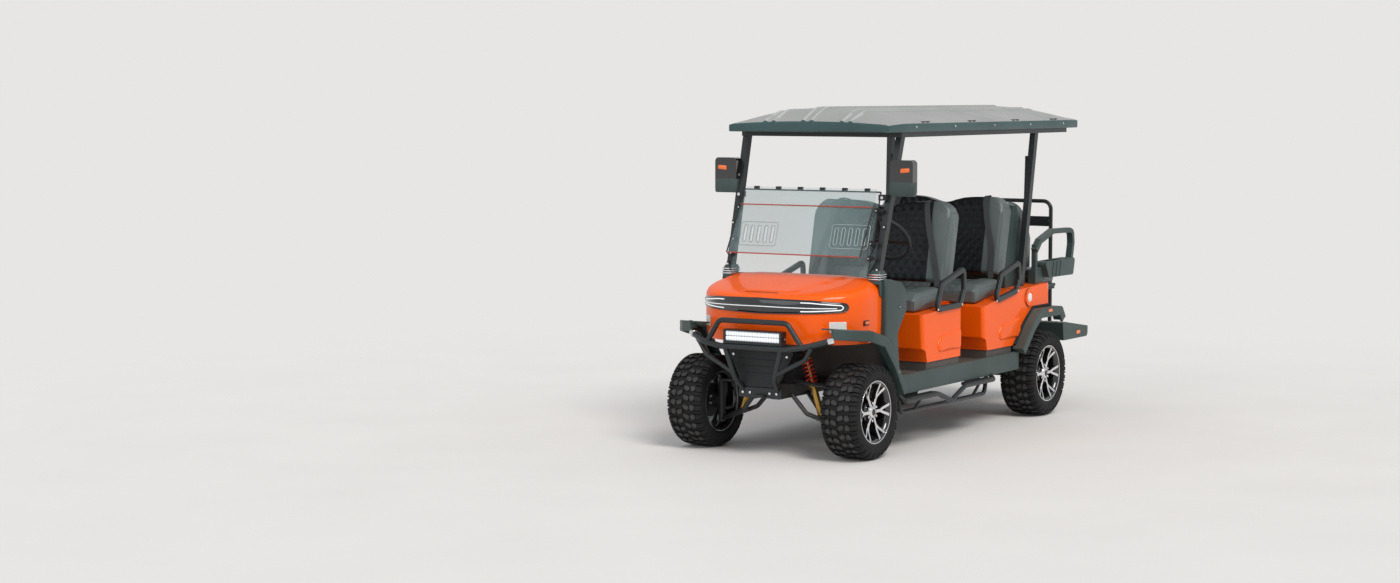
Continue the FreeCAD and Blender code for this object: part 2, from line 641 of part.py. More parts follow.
# Bars and steps
def build_guard():
    front = s.guard_tube - s.front_reach
    end_x = fender_half - 190
    half_line = [(end_x, -245, 740), (360, front + 14, 700), (235, front, 680)]
    main = tube(half_line + [(-x, y, z) for x, y, z in half_line[::-1]], s.guard_tube, 70)
    hoop = tube([(335, front + 14, 700), (240, front, 840), (-240, front, 840), (-335, front + 14, 700)],
                s.hoop_tube, 55)
    leg = tube([(200, front, 680), (140, front + 18, 490), (120, -245, 400)], s.hoop_tube, 60)
    side = tube([(395, front + 25, 695), (350, front + 25, 620), (150, front + 17, 520)], s.step_tube, 50)
    collar = rod((end_x, -245, 740), (end_x - 16, -257, 735), s.guard_tube + 4, 12)
    cross = box((-150, -262, 366), (150, -250, 425))
    pieces = [main, hoop, cross]
    for piece in (leg, side, collar):
        pieces += [piece, flip(piece)]
    return joined(pieces)


def build_steps():
    foot = sill_low
    inner_x = floor_half + 10
    outer_x = inner_x + 52
    rear = floor_rear
    lower = tube([(inner_x, 400, foot), (inner_x, 430, 237), (inner_x, rear - 555, 237), (inner_x, rear - 525, foot)],
                 s.step_tube, 45)
    upper = tube([(inner_x + 12, 372, foot + 2), (outer_x, 395, 318), (outer_x, 850, 318), (outer_x, 1040, 255),
                  (outer_x, 1235, 331), (outer_x, rear - 520, 331), (inner_x + 12, rear - 490, foot + 2)],
                 s.step_tube, 22)
    braces = [rod((inner_x, 620, 239), (outer_x, 620, 318), 10, 8), rod((inner_x, 1450, 239), (outer_x, 1450, 329), 10, 8)]
    pads = [box((outer_x - 40, 440, 322), (outer_x + 14, 830, 338)),
            box((outer_x - 40, 1250, 335), (outer_x + 14, rear - 560, 348))]
    step = joined([lower, upper] + braces + pads)
    return step.cut(box((inner_x - 100, 300, sill_low), (inner_x + 100, rear - 300, 600)))


# Roof
def roof_section(y, half, low, edge, crown):
    left = Vector(-half, y, low)
    right = Vector(half, y, low)
    left_top = Vector(-half, y, edge)
    right_top = Vector(half, y, edge)
    edges = [Part.LineSegment(left, right), Part.LineSegment(right, right_top),
             Part.Arc(right_top, Vector(0, y, crown), left_top), Part.LineSegment(left_top, left)]
    return Part.Wire([edge.toShape() for edge in edges])


def build_roof():
    front = s.roof_front
    rear = rear_axle_y + s.roof_overhang
    half = roof_half
    low = s.roof_low
    crown = roof_crown
    # Columns: distance rearward, half width, lower edge, shoulder, crown
    table = [(front, half - 30, low, low + 20, low + 50), (front + 180, half, low, roof_edge, crown),
             (rear - 160, half, low, roof_edge, crown), (rear, half - 25, low + 25, roof_edge - 5, roof_edge + 12)]
    outer = Part.makeLoft([roof_section(*row) for row in table], True, True)
    wall = s.roof_wall
    inner_table = [(front + wall, half - 30 - wall, low - 30, low + 10, low + 32),
                   (front + 190, half - wall, low - 30, roof_edge - 15, crown - 14),
                   (rear - 170, half - wall, low - 30, roof_edge - 15, crown - 14),
                   (rear - wall, half - 25 - wall, low - 30, roof_edge - 22, roof_edge - 6)]
    inner = Part.makeLoft([roof_section(*row) for row in inner_table], True, True)
    ribs = []
    for x in (-0.47 * half, 0, 0.47 * half):
        for shift in (-30, 30):
            near = x + shift
            drop = (crown - roof_edge) * (near / half) ** 2
            drop_front = 30 * (near / (half - 30)) ** 2
            line = [(rear - 170, crown - drop), (front + 180, crown - drop), (front + 14, low + 54 - drop_front)]
            strip = band(line[::-1], 6)
            ribs.append(prism_x(strip, near - s.rib_wide / 2, near + s.rib_wide / 2))
    return joined([outer] + ribs).cut(inner)


def build_roof_frame():
    low = s.roof_low - 30
    out = roof_half - 10
    inside = out - 40
    front = s.roof_front + 164
    rear = rear_axle_y + s.roof_overhang - 180
    shape = box((-out, front, low), (out, rear, s.roof_low)).cut(
        box((-inside, front + 40, low - 1), (inside, rear - 40, s.roof_low + 1)))
    bars = [box((-inside - 5, y, low), (inside + 5, y + 40, s.roof_low)) for y in (box_rear + 35, rear_axle_y - 60)]
    return joined([shape] + bars)


FRONT_PILLAR_FOOT = (cowl_half - 30, s.cowl_rear, s.cowl_high - 4)
FRONT_PILLAR_HEAD = (roof_half - 35, s.cowl_rear + 250, s.roof_low - 30)


def build_pillars():
    top = s.roof_low - 30
    front = slanted_bar(FRONT_PILLAR_FOOT, FRONT_PILLAR_HEAD, s.pillar_wide, s.pillar_deep)
    rear = slanted_bar((s.box_half - 90, rear_axle_y - 148, 895), (roof_half - 35, rear_axle_y - 35, top),
                       s.pillar_wide, s.pillar_deep)
    return Part.makeCompound([front, flip(front), rear, flip(rear)])


# Windshield
def pane(low_y, low_z, high_y, high_z, half, thick):
    return prism_x(band([(high_y, high_z), (low_y, low_z)], thick), -half, half)


def build_windshield():
    lower = pane(186, 1090, 360, 1615, cowl_half - 62, 6)
    for side in (-1, 1):
        for i in range(5):
            centre = side * (cowl_half - 330 + i * 50)
            slot = rounded([(centre - 9, 1285), (centre + 9, 1285), (centre + 9, 1385), (centre - 9, 1385)], 8, 45)
            lower = lower.cut(prism_y(slot, 150, 400))
    upper = pane(120, 1220, 296, 1522, cowl_half - 80, 6)
    strip = prism_x([(286, 1516), (340, 1600), (352, 1632), (370, 1630), (370, 1600), (300, 1508)], 90 - cowl_half, cowl_half - 90)
    clip = box((cowl_half - 70, 330, 1560), (cowl_half - 15, 380, 1600))
    return lower, upper, strip, clip


# Wheels
def build_tyre():
    """Tyre about the X axis with its middle plane at X = 0: a many-sided carcass with two rings of lugs."""
    sides = 40
    bead = s.rim_width / 2 - 8
    wide = s.tyre_width / 2
    base = s.tyre_radius - s.lug_high
    half = [(wide - 35, base), (wide - 11, base - 9), (wide, base - 41), (bead, s.rim_radius)]
    profile = [(-x, radius) for x, radius in half[::-1]] + half
    carcass = turned(profile, sides)
    bore = turned([(-wide, s.rim_radius), (wide, s.rim_radius)], sides)
    lug_line = [(wide - 69, base - 5), (wide - 69, s.tyre_radius), (wide - 27, s.tyre_radius), (wide - 15, base - 13)]
    lugs = []
    for side, start in ((1, 0.0), (-1, 0.5)):
        flat = face_of([Vector(side * x, -s.lug_wide / 2, z) for x, z in lug_line])
        lug = flat.extrude(Vector(0, s.lug_wide, 0))
        for i in range(sides // 2):
            copy = lug.copy()
            copy.rotate(Vector(0, 0, 0), Vector(1, 0, 0), (i + start) * 720 / sides)
            lugs.append(copy)
    return carcass.fuse(lugs).cut(bore)


def build_rim():
    """Rim about the X axis with six forked spokes, its open face towards +X."""
    sides = 40
    half = s.rim_width / 2
    outer = s.rim_radius
    inner = outer - s.rim_wall
    face = s.spoke_face
    barrel = turned([(-half, outer), (half, outer)], sides).cut(turned([(-half - 1, inner), (half + 1, inner)], sides))
    fork = outer * 0.58
    spoke_line = [(-11, 30), (11, 30), (9, fork - 6), (41, inner - 2), (38, inner + 5), (24, inner + 5),
                  (0, fork + 22), (-24, inner + 5), (-38, inner + 5), (-41, inner - 2), (-9, fork - 6)]
    spoke = prism_x(spoke_line, face - 24, face)
    pieces = [barrel]
    for turn in range(6):
        copy = spoke.copy()
        copy.rotate(Vector(0, 0, 0), Vector(1, 0, 0), turn * 60)
        pieces.append(copy)
    pieces.append(turned([(face - 30, 46), (face - 2, 44), (face + 4, 36)], 24))
    pieces.append(turned([(-32, 40), (face - 25, 36)], 24))
    pieces.append(turned([(-34, s.disc_radius), (-26, s.disc_radius)], 24))
    bore = Part.makeCylinder(s.spindle_radius + s.pin_gap, face + 60, Vector(-50, 0, 0), Vector(1, 0, 0))
    return joined(pieces).cut(bore.common(box((-60, -50, -50), (face - 12, 50, 50))))


def placed(shape, side, y):
    """Copy of a wheel piece at one corner of the cart, its open face outward."""
    copy = shape.copy() if side > 0 else flip(shape)
    copy.translate(Vector(side * s.half_track, y, s.tyre_radius))
    return copy


# Running gear
def build_knuckle():
    axle_z = s.tyre_radius
    pin = kingpin_x
    foot = axle_z - 90 + s.pin_gap
    head = axle_z + 116 - s.pin_gap
    boss = Part.makeCylinder(24, head - foot, Vector(pin, 0, foot))
    reach = s.half_track + s.spoke_face - 22 - pin
    spindle = Part.makeCylinder(s.spindle_radius, reach, Vector(pin, 0, axle_z), Vector(1, 0, 0))
    flange = rod((pin, 0, axle_z), (pin + 45, 0, axle_z), 38, 16)
    arm = prism_z(rounded([(pin - 16, 8), (pin + 16, 8), (pin + 10, 128), (pin - 10, 128)], 8, 45),
                  axle_z - 60, axle_z - 42)
    caliper = prism_x(rounded([(52, axle_z + 34), (104, axle_z + 34), (104, axle_z + 104), (52, axle_z + 104)], 14, 45),
                      pin + 20, pin + 68)
    hanger = box((pin + 8, 0, axle_z + 15), (pin + 28, 70, axle_z + 80))
    return joined([boss, spindle, flange, arm, hanger, caliper])


def build_front_suspension():
    pin = kingpin_x
    lower_z = s.tyre_radius - 96
    upper_z = s.tyre_radius + 116
    pieces = []
    for y in (-95, 95):
        pieces.append(tube([(s.horn_half - 2, y, 376), (225, y * 0.85, 262), (pin, 0, lower_z - 20)], 13, 60))
        pieces.append(tube([(118, y * 0.74, 462), (300, y * 0.65, 436), (pin, 0, upper_z + 12)], 11, 40))
    pieces.append(rod((pin, 0, lower_z - 34), (pin, 0, lower_z + 6), 22))
    pieces.append(rod((pin, 0, upper_z), (pin, 0, upper_z + 24), 20))
    pieces.append(box((262, -60, 230), (302, 60, 248)))
    return joined(pieces)


def build_dampers():
    """Damper from the frame's tower to the lower arm, with its coil spring round it."""
    top = Vector(s.horn_half + 36, 0, 612)
    low = Vector(284, 0, 240)
    way = (low - top).normalize()
    length = (low - top).Length
    spring_start = 30
    spring_end = 192
    pieces = [rod(top, low, 13), rod(top + way * length * 0.5, low - way * 4, 21),
              rod(Vector(top.x, -15, top.z), Vector(top.x, 15, top.z), 16),
              rod(top + way * (spring_start - 9), top + way * (spring_start - 1), 40, 16),
              rod(top + way * (spring_end + 1), top + way * (spring_end + 9), 40, 16)]
    pitch = (spring_end - spring_start - 2 * s.coil_wire) / s.coil_turns
    steps = 8
    side = Vector(0, 1, 0)
    other = way.cross(side)
    coil = []
    for i in range(int(s.coil_turns) * steps + 1):
        angle = 2 * math.pi * i / steps
        centre = top + way * (spring_start + s.coil_wire + pitch * i / steps)
        coil.append(centre + side * (s.coil_radius * math.cos(angle)) + other * (s.coil_radius * math.sin(angle)))
    wire = polygon_ring(coil[0], coil[1] - coil[0], s.coil_wire, 6)
    shell = Part.BRepOffsetAPI.MakePipeShell(Part.makePolygon(coil))
    shell.setFrenetMode(True)
    shell.setTransitionMode(1)
    shell.add(Part.makePolygon(wire + wire[:1]))
    shell.build()
    shell.makeSolid()
    return joined(pieces), shell.shape()


def build_rear_axle():
    axle_z = s.tyre_radius
    tube_half = kingpin_x + 40
    beam = rod((-tube_half, 0, 0), (tube_half, 0, 0), 36, 16)
    # Differential housing: distance along the axle, radius
    housing = turned([(-20, 56), (0, 84), (40, 98), (80, 98), (120, 84), (140, 56)], 16)
    motor = turned([(-130, 74), (-118, 84), (108, 84), (120, 74)], 20)
    motor.translate(Vector(0, 120, 12))
    neck = box((20, 0, -50), (100, 120, 50))
    reach = s.half_track + s.spoke_face - 22
    spindle = Part.makeCylinder(s.spindle_radius, 2 * reach, Vector(-reach, 0, 0), Vector(1, 0, 0))
    shape = joined([beam, housing, motor, neck, spindle])
    shape.translate(Vector(0, rear_axle_y, axle_z))
    return shape


def build_rear_springs():
    y = rear_axle_y
    low = s.tyre_radius + 36
    rail_low = s.frame_top - s.frame_depth
    leaf = prism_x(band([(y + 330, 346), (y, low), (y - 330, 346)], 12), 188, 232)
    second_leaf = prism_x(band([(y + 200, low + 6), (y, low - 8), (y - 200, low + 6)], 9), 188, 232)
    shackles = [box((188, y + far, 340), (232, y + far + 30, rail_low)) for far in (-340, 310)]
    return pair(joined([leaf, second_leaf] + shackles))


# Controls
def steering_axis():
    tilt = math.radians(s.wheel_tilt)
    return Vector(0, math.cos(tilt), math.sin(tilt))


def build_steering_wheel():
    hub = Vector(s.wheel_hub_x, s.wheel_hub_y, s.wheel_hub_z)
    axis = steering_axis()
    side = Vector(1, 0, 0)
    up = axis.cross(side)
    sides = 36
    reach = s.wheel_ring / math.cos(math.pi / sides)
    ring = []
    for i in range(sides):
        angle = 2 * math.pi * (i + 0.5) / sides
        ring.append(hub + side * (reach * math.cos(angle)) + up * (reach * math.sin(angle)))
    start = (ring[0] + ring[-1]) * 0.5
    pieces = [sweep([start] + ring + [start], s.ring_tube), rod(hub - axis * 40, hub + axis * 4, 34, 16)]
    for angle in (10, 170, 270):
        turn = math.radians(angle)
        way = side * math.cos(turn) + up * math.sin(turn)
        pieces.append(rod(hub - axis * 16, hub + way * s.wheel_ring, 9, 8))
    return joined(pieces)


def build_pedals():
    accelerator = prism_x(band([(452, 500), (418, 610)], 12), 340, 400)
    stem = prism_x(band([(452, floor_top - 2), (452, 510)], 12), 358, 382)
    brake = prism_x(band([(452, 520), (424, 600)], 12), 200, 300)
    brake_stem = prism_x(band([(452, floor_top - 2), (452, 530)], 12), 238, 262)
    return Part.makeCompound([joined([accelerator, stem]), joined([brake, brake_stem])])


# Assembly: frame, floor, rockers and steps
chassis = build_chassis()
floor = build_floor().cut(chassis)
shaped("chassis_frame", chassis)
shaped("floor_pan", floor)
rear_fenders = build_rear_fenders()
shaped("rocker_panels", build_rockers(rear_fenders))
shaped("side_steps", pair(build_steps()))

# Nose, lamps, fenders and guard
cowl_outer, cowl = build_cowl()
lamp_panel, lamp_strips = build_lamps()
fenders = build_front_fenders(cowl_outer)
dash = build_dash()
shaped("front_cowl", both_halves(cowl.cut(lamp_panel)))
shaped("dash_panel", dash)
shaped("headlamp_panel", lamp_panel)
shaped("drl_strips", lamp_strips)
shaped("front_fenders", fenders)
guard = whole(build_guard().cut(cowl_outer).cut(fenders).cut(chassis))
shaped("brush_guard", guard)
light_bar = prism_x(rounded([(-362, 697), (-300, 697), (-300, 786), (-362, 786)], 8, 45), -205, 205)
light_bar = light_bar.cut(guard).cut(box((-192, -370, 715), (192, -350, 778)))
shaped("light_bar", light_bar)
panel_line = rounded([(-225, s.cowl_low), (-225, 640), (-145, 475), (-110, 432), (110, 432), (145, 475),
                      (225, 640), (225, s.cowl_low)], 20)
shaped("front_panel", prism_y(panel_line, -262, -250).cut(guard).cut(chassis))

# Screen, roof and mirrors
pillars = build_pillars().cut(dash).cut(cowl_outer)
pane_low, pane_high, strip, clip = build_windshield()
clip = clip.cut(pane_low).cut(pillars)
shaped("windshield_lower", pane_low.cut(cowl_outer).cut(dash))
shaped("windshield_upper", pane_high)
shaped("windshield_clips", Part.makeCompound([strip.cut(pane_low).cut(pane_high), clip, flip(clip)]))
shaped("roof_frame", build_roof_frame())
shaped("roof_panel", build_roof())
mirror_low = s.roof_low - 388
mirror_in = roof_half - 34
arm_z = mirror_low + 108
arm_share = (arm_z - FRONT_PILLAR_FOOT[2]) / (FRONT_PILLAR_HEAD[2] - FRONT_PILLAR_FOOT[2])
arm_y = FRONT_PILLAR_FOOT[1] + (FRONT_PILLAR_HEAD[1] - FRONT_PILLAR_FOOT[1]) * arm_share
mirror = prism_y(rounded([(mirror_in, mirror_low), (mirror_in + 159, mirror_low), (mirror_in + 159, mirror_low + 220),
                          (mirror_in, mirror_low + 220)], 26), arm_y - 67, arm_y - 7)
mirror = joined([mirror, box((mirror_in - 6, arm_y - 22, arm_z - 20), (mirror_in + 44, arm_y + 13, arm_z + 20))])
shaped("mirrors", pair(mirror.cut(pillars)))

# Seat boxes, cushions, backs and restraints
front_hinge_z = s.box_high_front + 10
mid_hinge_z = s.body_high_front + 18
front_pieces = build_seat_body("front_seat_box", front_box_outline, front_box_hollow, front_box_opening,
                               s.box_front, front_hinge_z)
rear_pieces = build_seat_body("rear_body", rear_body_outline, rear_body_hollow, rear_body_opening,
                              second_row, mid_hinge_z)
door_hinge = primitive("Part::Cylinder", "door_hinge", {"Radius": "4", "Height": "40"},
                       Vector(s.box_half + 3, rear_axle_y - 259, 809))
front_solid = front_pieces[0].Shape
rear_solid = rear_pieces[0].Shape
front_loop = hip_loop(s.box_front, [(517, 836), (579, 945), (573, 1112), (228, 1020), (138, 826)])
mid_loop = hip_loop(second_row, [(495, 868), (549, 956), (541, 1104), (235, 1030), (128, 820)])
shaped("front_hip_restraints", pair(front_loop.cut(front_solid)))
shaped("mid_hip_restraints", pair(mid_loop.cut(rear_solid)))
fuse_of("front_seat_box", front_pieces)
fuse_of("rear_body", rear_pieces + [door_hinge])

cushion_wide = "2*box_half-2*cushion_inset"
front_line = cushion_outline("box_front+45", "box_high_front+3.5", "box_front+cushion_deep+45", "box_high_front+25")
mid_line = cushion_outline(SECOND_ROW + "+45", "body_high_front+8.7", SECOND_ROW + "+cushion_deep+40",
                           "body_high_front+65.8")
keep(side_profile_body("front_seat_cushion", front_line, cushion_wide), "front_seat_cushion")
keep(side_profile_body("mid_seat_cushion", mid_line, cushion_wide), "mid_seat_cushion")
keep(side_profile_body("front_seat_back", back_outline(FRONT_BACK_FOOT), cushion_wide), "front_seat_back")
keep(side_profile_body("mid_seat_back", back_outline(MID_BACK_FOOT), cushion_wide + "-70"), "mid_seat_back")
rear_back_line = [(REAR_AXLE + "-30", "1010"), (REAR_AXLE + "-119", "1455"), (REAR_AXLE + "-100", "1470"),
                  (REAR_AXLE + "-30", "1465"), (REAR_AXLE + "+5", "1440"), (REAR_AXLE + "+100", "1250"),
                  (REAR_AXLE + "+102", "1010")]
keep(side_profile_body("rear_seat_back", rear_back_line, cushion_wide + "-70"), "rear_seat_back")
shaped("front_back_frame", build_back_frame_front())
body_solid = prism_x([(second_row + 525, 760), (second_row + 525, s.body_high_mid),
                      (rear_axle_y + 119, s.body_high_rear), (body_rear, 760)], -s.box_half, s.box_half)
shaped("rear_back_frame", build_back_frame_rear().cut(body_solid).cut(pillars))
shaped("roof_pillars", pillars.cut(body_solid))
shaped("rear_armrests", pair(build_armrests().cut(body_solid)))
shaped("rear_fenders", rear_fenders)
lamp = prism_x(rounded([(body_rear - 20, 780), (body_rear + 12, 780), (body_rear + 12, 900), (body_rear - 20, 900)],
                       5, 45), s.box_half - 55, s.box_half - 8).cut(body_solid)
shaped("tail_lamps", pair(lamp))

# Rear flip seat, footrest and grab bar
deck_front = "-12-rear_cushion_deep"
hinge_line = REAR_AXLE + "+485"
keep(side_profile_body("rear_seat_cushion", [
    (hinge_line + "-10-rear_cushion_deep", "deck_hinge_z+10+soft_gap"), (hinge_line + "-10", "deck_hinge_z+10+soft_gap"),
    (hinge_line + "-10", "deck_hinge_z+125"), (hinge_line + "-10-rear_cushion_deep", "deck_hinge_z+125")],
    "2*box_half-220"), "rear_seat_cushion")
keep(side_profile_body("cargo_deck", [
    (hinge_line + deck_front, "deck_hinge_z-9"), (hinge_line + "-6", "deck_hinge_z-9"),
    (hinge_line + "-6", "deck_hinge_z+10"), (hinge_line + deck_front, "deck_hinge_z+10")],
    "2*box_half-210"), "cargo_deck")
base_low = 842
base_half = s.box_half - 110
seat_base = box((-base_half, body_rear + 1, base_low), (base_half, deck_hinge_y - 10, s.deck_hinge_z - 9 - s.pin_gap))
ears = []
for x in (-330, 270):
    ears.append(Part.makeCylinder(s.hinge_barrel, 60, Vector(x, deck_hinge_y, s.deck_hinge_z), Vector(1, 0, 0)))
    ears.append(box((x, deck_hinge_y - 12, s.deck_hinge_z - 14), (x + 60, deck_hinge_y, s.deck_hinge_z - 10)))
    ears.append(box((x, deck_hinge_y - 3, s.deck_hinge_z - 13), (x + 60, deck_hinge_y + 3, s.deck_hinge_z - 2)))
shaped("rear_seat_base", joined([seat_base] + ears))
rest_y = rear_axle_y + 492
footrest_line = rounded([(rest_y + 18, 470), (rest_y, 596), (rest_y + 20, 604), (rest_end - 80, 556),
                         (rest_end, 545), (rest_end, 490), (rest_end - 20, 470)], 7, 45)
treads = [box((-500, rest_y + 60 + step, 540), (500, rest_y + 84 + step, 602 - (60 + step) * 0.142))
          for step in (0, 70, 140, 210)]
footrest = joined([prism_x(footrest_line, -550, 550)] + treads)
shaped("footrest", footrest)
bar_y = rest_end - 45
grab = tube([(270, bar_y, 551), (270, bar_y, 1440), (-270, bar_y, 1440), (-270, bar_y, 551)], s.bar_tube, 60)
grab = joined([grab, box((-262, bar_y - 3, 1257), (262, bar_y + 3, 1329))])
shaped("grab_bar", grab.cut(footrest))

# Suspension, axle, battery and wheels
suspension = build_front_suspension().cut(chassis)
damper, spring = build_dampers()
shaped("front_suspension", pair(suspension))
shaped("front_dampers", pair(damper.cut(suspension).cut(chassis)))
shaped("front_springs", pair(spring))
knuckle = build_knuckle()
shaped("knuckle_left", knuckle)
shaped("knuckle_right", flip(knuckle))
rear_axle = build_rear_axle()
shaped("rear_axle", rear_axle)
shaped("rear_springs", build_rear_springs().cut(rear_axle))
keep(primitive("Part::Box", "battery_pack", {"Length": "2*box_half-640", "Width": "330", "Height": "250"},
               Vector(-s.box_half + 320, s.box_front + 125, plinth_top)), "battery_pack")
tyre = build_tyre()
rim = build_rim()
for corner, side, y in (("front_left", 1, 0), ("front_right", -1, 0),
                        ("rear_left", 1, rear_axle_y), ("rear_right", -1, rear_axle_y)):
    shaped("tyre_" + corner, placed(tyre, side, y))
    shaped("rim_" + corner, placed(rim, side, y))

# Controls and charge-port door
axis = steering_axis()
column_foot = Vector(s.wheel_hub_x, s.wheel_hub_y, s.wheel_hub_z) - axis * 466
shaped("steering_wheel", build_steering_wheel())
shaped("steering_column", rod(column_foot, column_foot + axis * (426 - s.pin_gap), 22, 16).cut(dash))
shaped("pedals", build_pedals().cut(floor))
keep(primitive("Part::Prism", "charge_door", {"Polygon": "24", "Circumradius": "door_radius", "Height": "door_thick"},
               Vector(s.box_half + 0.5, rear_axle_y - 189, 829), FreeCAD.Rotation(Vector(0, 1, 0), 90)), "charge_door")

doc.recompute()
for obj in doc.Objects:
    assert "Invalid" not in obj.State and "Error" not in obj.State, obj.Label

os.makedirs("parts", exist_ok=True)
for obj in parts:
    shape = obj.Shape
    assert not shape.isNull() and shape.isValid(), obj.Label
    assert shape.Solids, obj.Label
    shape.exportStep("parts/%s.step" % obj.Label)
everything = Part.makeCompound([obj.Shape for obj in parts])
print(len(parts), "sub-parts", everything.BoundBox)
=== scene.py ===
import json
from math import copysign, cos, degrees, ceil, exp, hypot, pi, radians, sin, sqrt, tan

import bmesh
import bpy
from mathutils import Matrix, Vector


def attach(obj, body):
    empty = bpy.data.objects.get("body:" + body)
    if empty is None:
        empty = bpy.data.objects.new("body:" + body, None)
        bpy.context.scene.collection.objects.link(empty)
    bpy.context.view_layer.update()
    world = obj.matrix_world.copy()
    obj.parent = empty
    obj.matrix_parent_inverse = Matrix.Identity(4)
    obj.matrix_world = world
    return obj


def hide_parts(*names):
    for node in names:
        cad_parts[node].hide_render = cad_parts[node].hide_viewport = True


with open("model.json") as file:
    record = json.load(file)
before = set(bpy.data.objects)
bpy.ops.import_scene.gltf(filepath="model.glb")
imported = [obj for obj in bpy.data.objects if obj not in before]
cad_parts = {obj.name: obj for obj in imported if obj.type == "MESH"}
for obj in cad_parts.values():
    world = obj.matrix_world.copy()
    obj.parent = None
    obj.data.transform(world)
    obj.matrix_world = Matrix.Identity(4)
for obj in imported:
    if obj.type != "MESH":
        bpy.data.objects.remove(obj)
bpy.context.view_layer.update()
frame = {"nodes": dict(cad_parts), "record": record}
nodes = frame["nodes"]
scene = bpy.context.scene

# The front axle lies this far from the frame's origin; places below are given from it, in millimetres
AXLE_Y = -1.53
REAR_AXLE = 2500
HALF_TRACK = 550
TYRE_RADIUS = 292
SIDES = (-1, 1)


def mm(x, y, z):
    """Point given in millimetres from the front axle, in the frame's own space."""
    return Vector((x / 1000, y / 1000 + AXLE_Y, z / 1000))


def smooth_step(value):
    value = max(0.0, min(1.0, value))
    return value * value * (3 - 2 * value)


def along(table, place):
    """Row of a table at a place between its rows, whose first numbers rise."""
    for a, b in zip(table, table[1:]):
        if place <= b[0]:
            break
    share = max(0.0, min(1.0, (place - a[0]) / (b[0] - a[0])))
    return [u + (v - u) * share for u, v in zip(a, b)]


# Materials
DUST = (0.42, 0.38, 0.33, 1)


def add_node(tree, kind, feeds=(), **values):
    """New shader node; feeds lists its sockets with the outputs that they take."""
    node = tree.nodes.new(kind)
    for name, value in values.items():
        if name in node.inputs:
            node.inputs[name].default_value = value
        else:
            setattr(node, name, value)
    for socket, output in feeds:
        tree.links.new(output, node.inputs[socket])
    return node


def mapped(tree, value, **ends):
    """Value moved to another range; ends are named like to_min."""
    node = add_node(tree, "ShaderNodeMapRange", [("Value", value)])
    for end, number in ends.items():
        node.inputs[end.replace("_", " ").title()].default_value = number
    return node.outputs["Result"]


def new_material(name, **values):
    """Material with its tree, its shader and the place in the object's own space."""
    mat = bpy.data.materials.new(name)
    mat.use_nodes = True
    tree = mat.node_tree
    shader = tree.nodes["Principled BSDF"]
    for socket, value in values.items():
        shader.inputs[socket.replace("_", " ")].default_value = value
    return mat, tree, shader, add_node(tree, "ShaderNodeTexCoord").outputs["Object"]


def noise(tree, place, scale, detail):
    return add_node(tree, "ShaderNodeTexNoise", [("Vector", place)], Scale=scale,
                    Detail=detail).outputs["Fac"]


def clouded(tree, patches, dark, light):
    """Colour that goes from dark to light over the patches."""
    ramp = add_node(tree, "ShaderNodeValToRGB", [("Fac", patches)])
    for stop, position, color in zip(ramp.color_ramp.elements, (0.3, 0.7), (dark, light)):
        stop.position = position
        stop.color = (*color, 1)
    return ramp.outputs["Color"]


def finish_material(name, color, rough, metallic=0.0, coat=0.0, coat_rough=0.05, tint=0.12, tint_scale=3.0,
                    grain=900.0, bump=0.12, rough_vary=0.12, dust=0.0, specular=0.5):
    """Material with cloudy colour variation, fine grain in roughness and bump, and dust on top faces."""
    mat, tree, shader, place = new_material(name, Metallic=metallic, Coat_Weight=coat,
                                            Coat_Roughness=coat_rough, Specular_IOR_Level=specular)
    clouds = noise(tree, place, tint_scale, 4.0)
    fine = noise(tree, place, grain, 2.0)
    shade = clouded(tree, clouds, [c * (1 - tint) for c in color],
                    [min(1.0, c * (1 + tint) + 0.002) for c in color])
    if dust:
        geometry = add_node(tree, "ShaderNodeNewGeometry")
        split = add_node(tree, "ShaderNodeSeparateXYZ", [("Vector", geometry.outputs["Normal"])])
        up = mapped(tree, split.outputs["Z"], from_min=0.4, to_max=dust)
        patch = add_node(tree, "ShaderNodeMath", [(0, up), (1, clouds)], operation="MULTIPLY")
        shade = add_node(tree, "ShaderNodeMix", [("Factor", patch.outputs["Value"]), ("A", shade)],
                         data_type="RGBA", B=DUST).outputs["Result"]
    tree.links.new(shade, shader.inputs["Base Color"])
    spread = mapped(tree, fine, to_min=max(0.02, rough - rough_vary), to_max=min(1.0, rough + rough_vary))
    tree.links.new(spread, shader.inputs["Roughness"])
    bumps = add_node(tree, "ShaderNodeBump", [("Height", fine)], Strength=bump, Distance=0.0006)
    tree.links.new(bumps.outputs["Normal"], shader.inputs["Normal"])
    return mat


def glass_material(name, color, cover):
    """Clear plastic sheet; cover is how much its own colour hides what is behind it."""
    mat, tree, shader, place = new_material(name, Specular_IOR_Level=1.0, Coat_Weight=1.0,
                                            Coat_Roughness=0.02)
    haze = noise(tree, place, 2.2, 3.0)
    for socket, output in (
            ("Base Color", clouded(tree, haze, [c * 0.8 for c in color], [c * 1.2 for c in color])),
            ("Roughness", mapped(tree, haze, to_min=0.02, to_max=0.07)),
            ("Alpha", mapped(tree, haze, to_min=cover * 0.85, to_max=cover * 1.15))):
        tree.links.new(output, shader.inputs[socket])
    return mat


def lamp_material(name, color, strength):
    mat = finish_material(name, color, 0.25, coat=0.6, tint=0.03)
    shader = mat.node_tree.nodes["Principled BSDF"]
    shader.inputs["Emission Color"].default_value = (*color, 1)
    shader.inputs["Emission Strength"].default_value = strength
    return mat


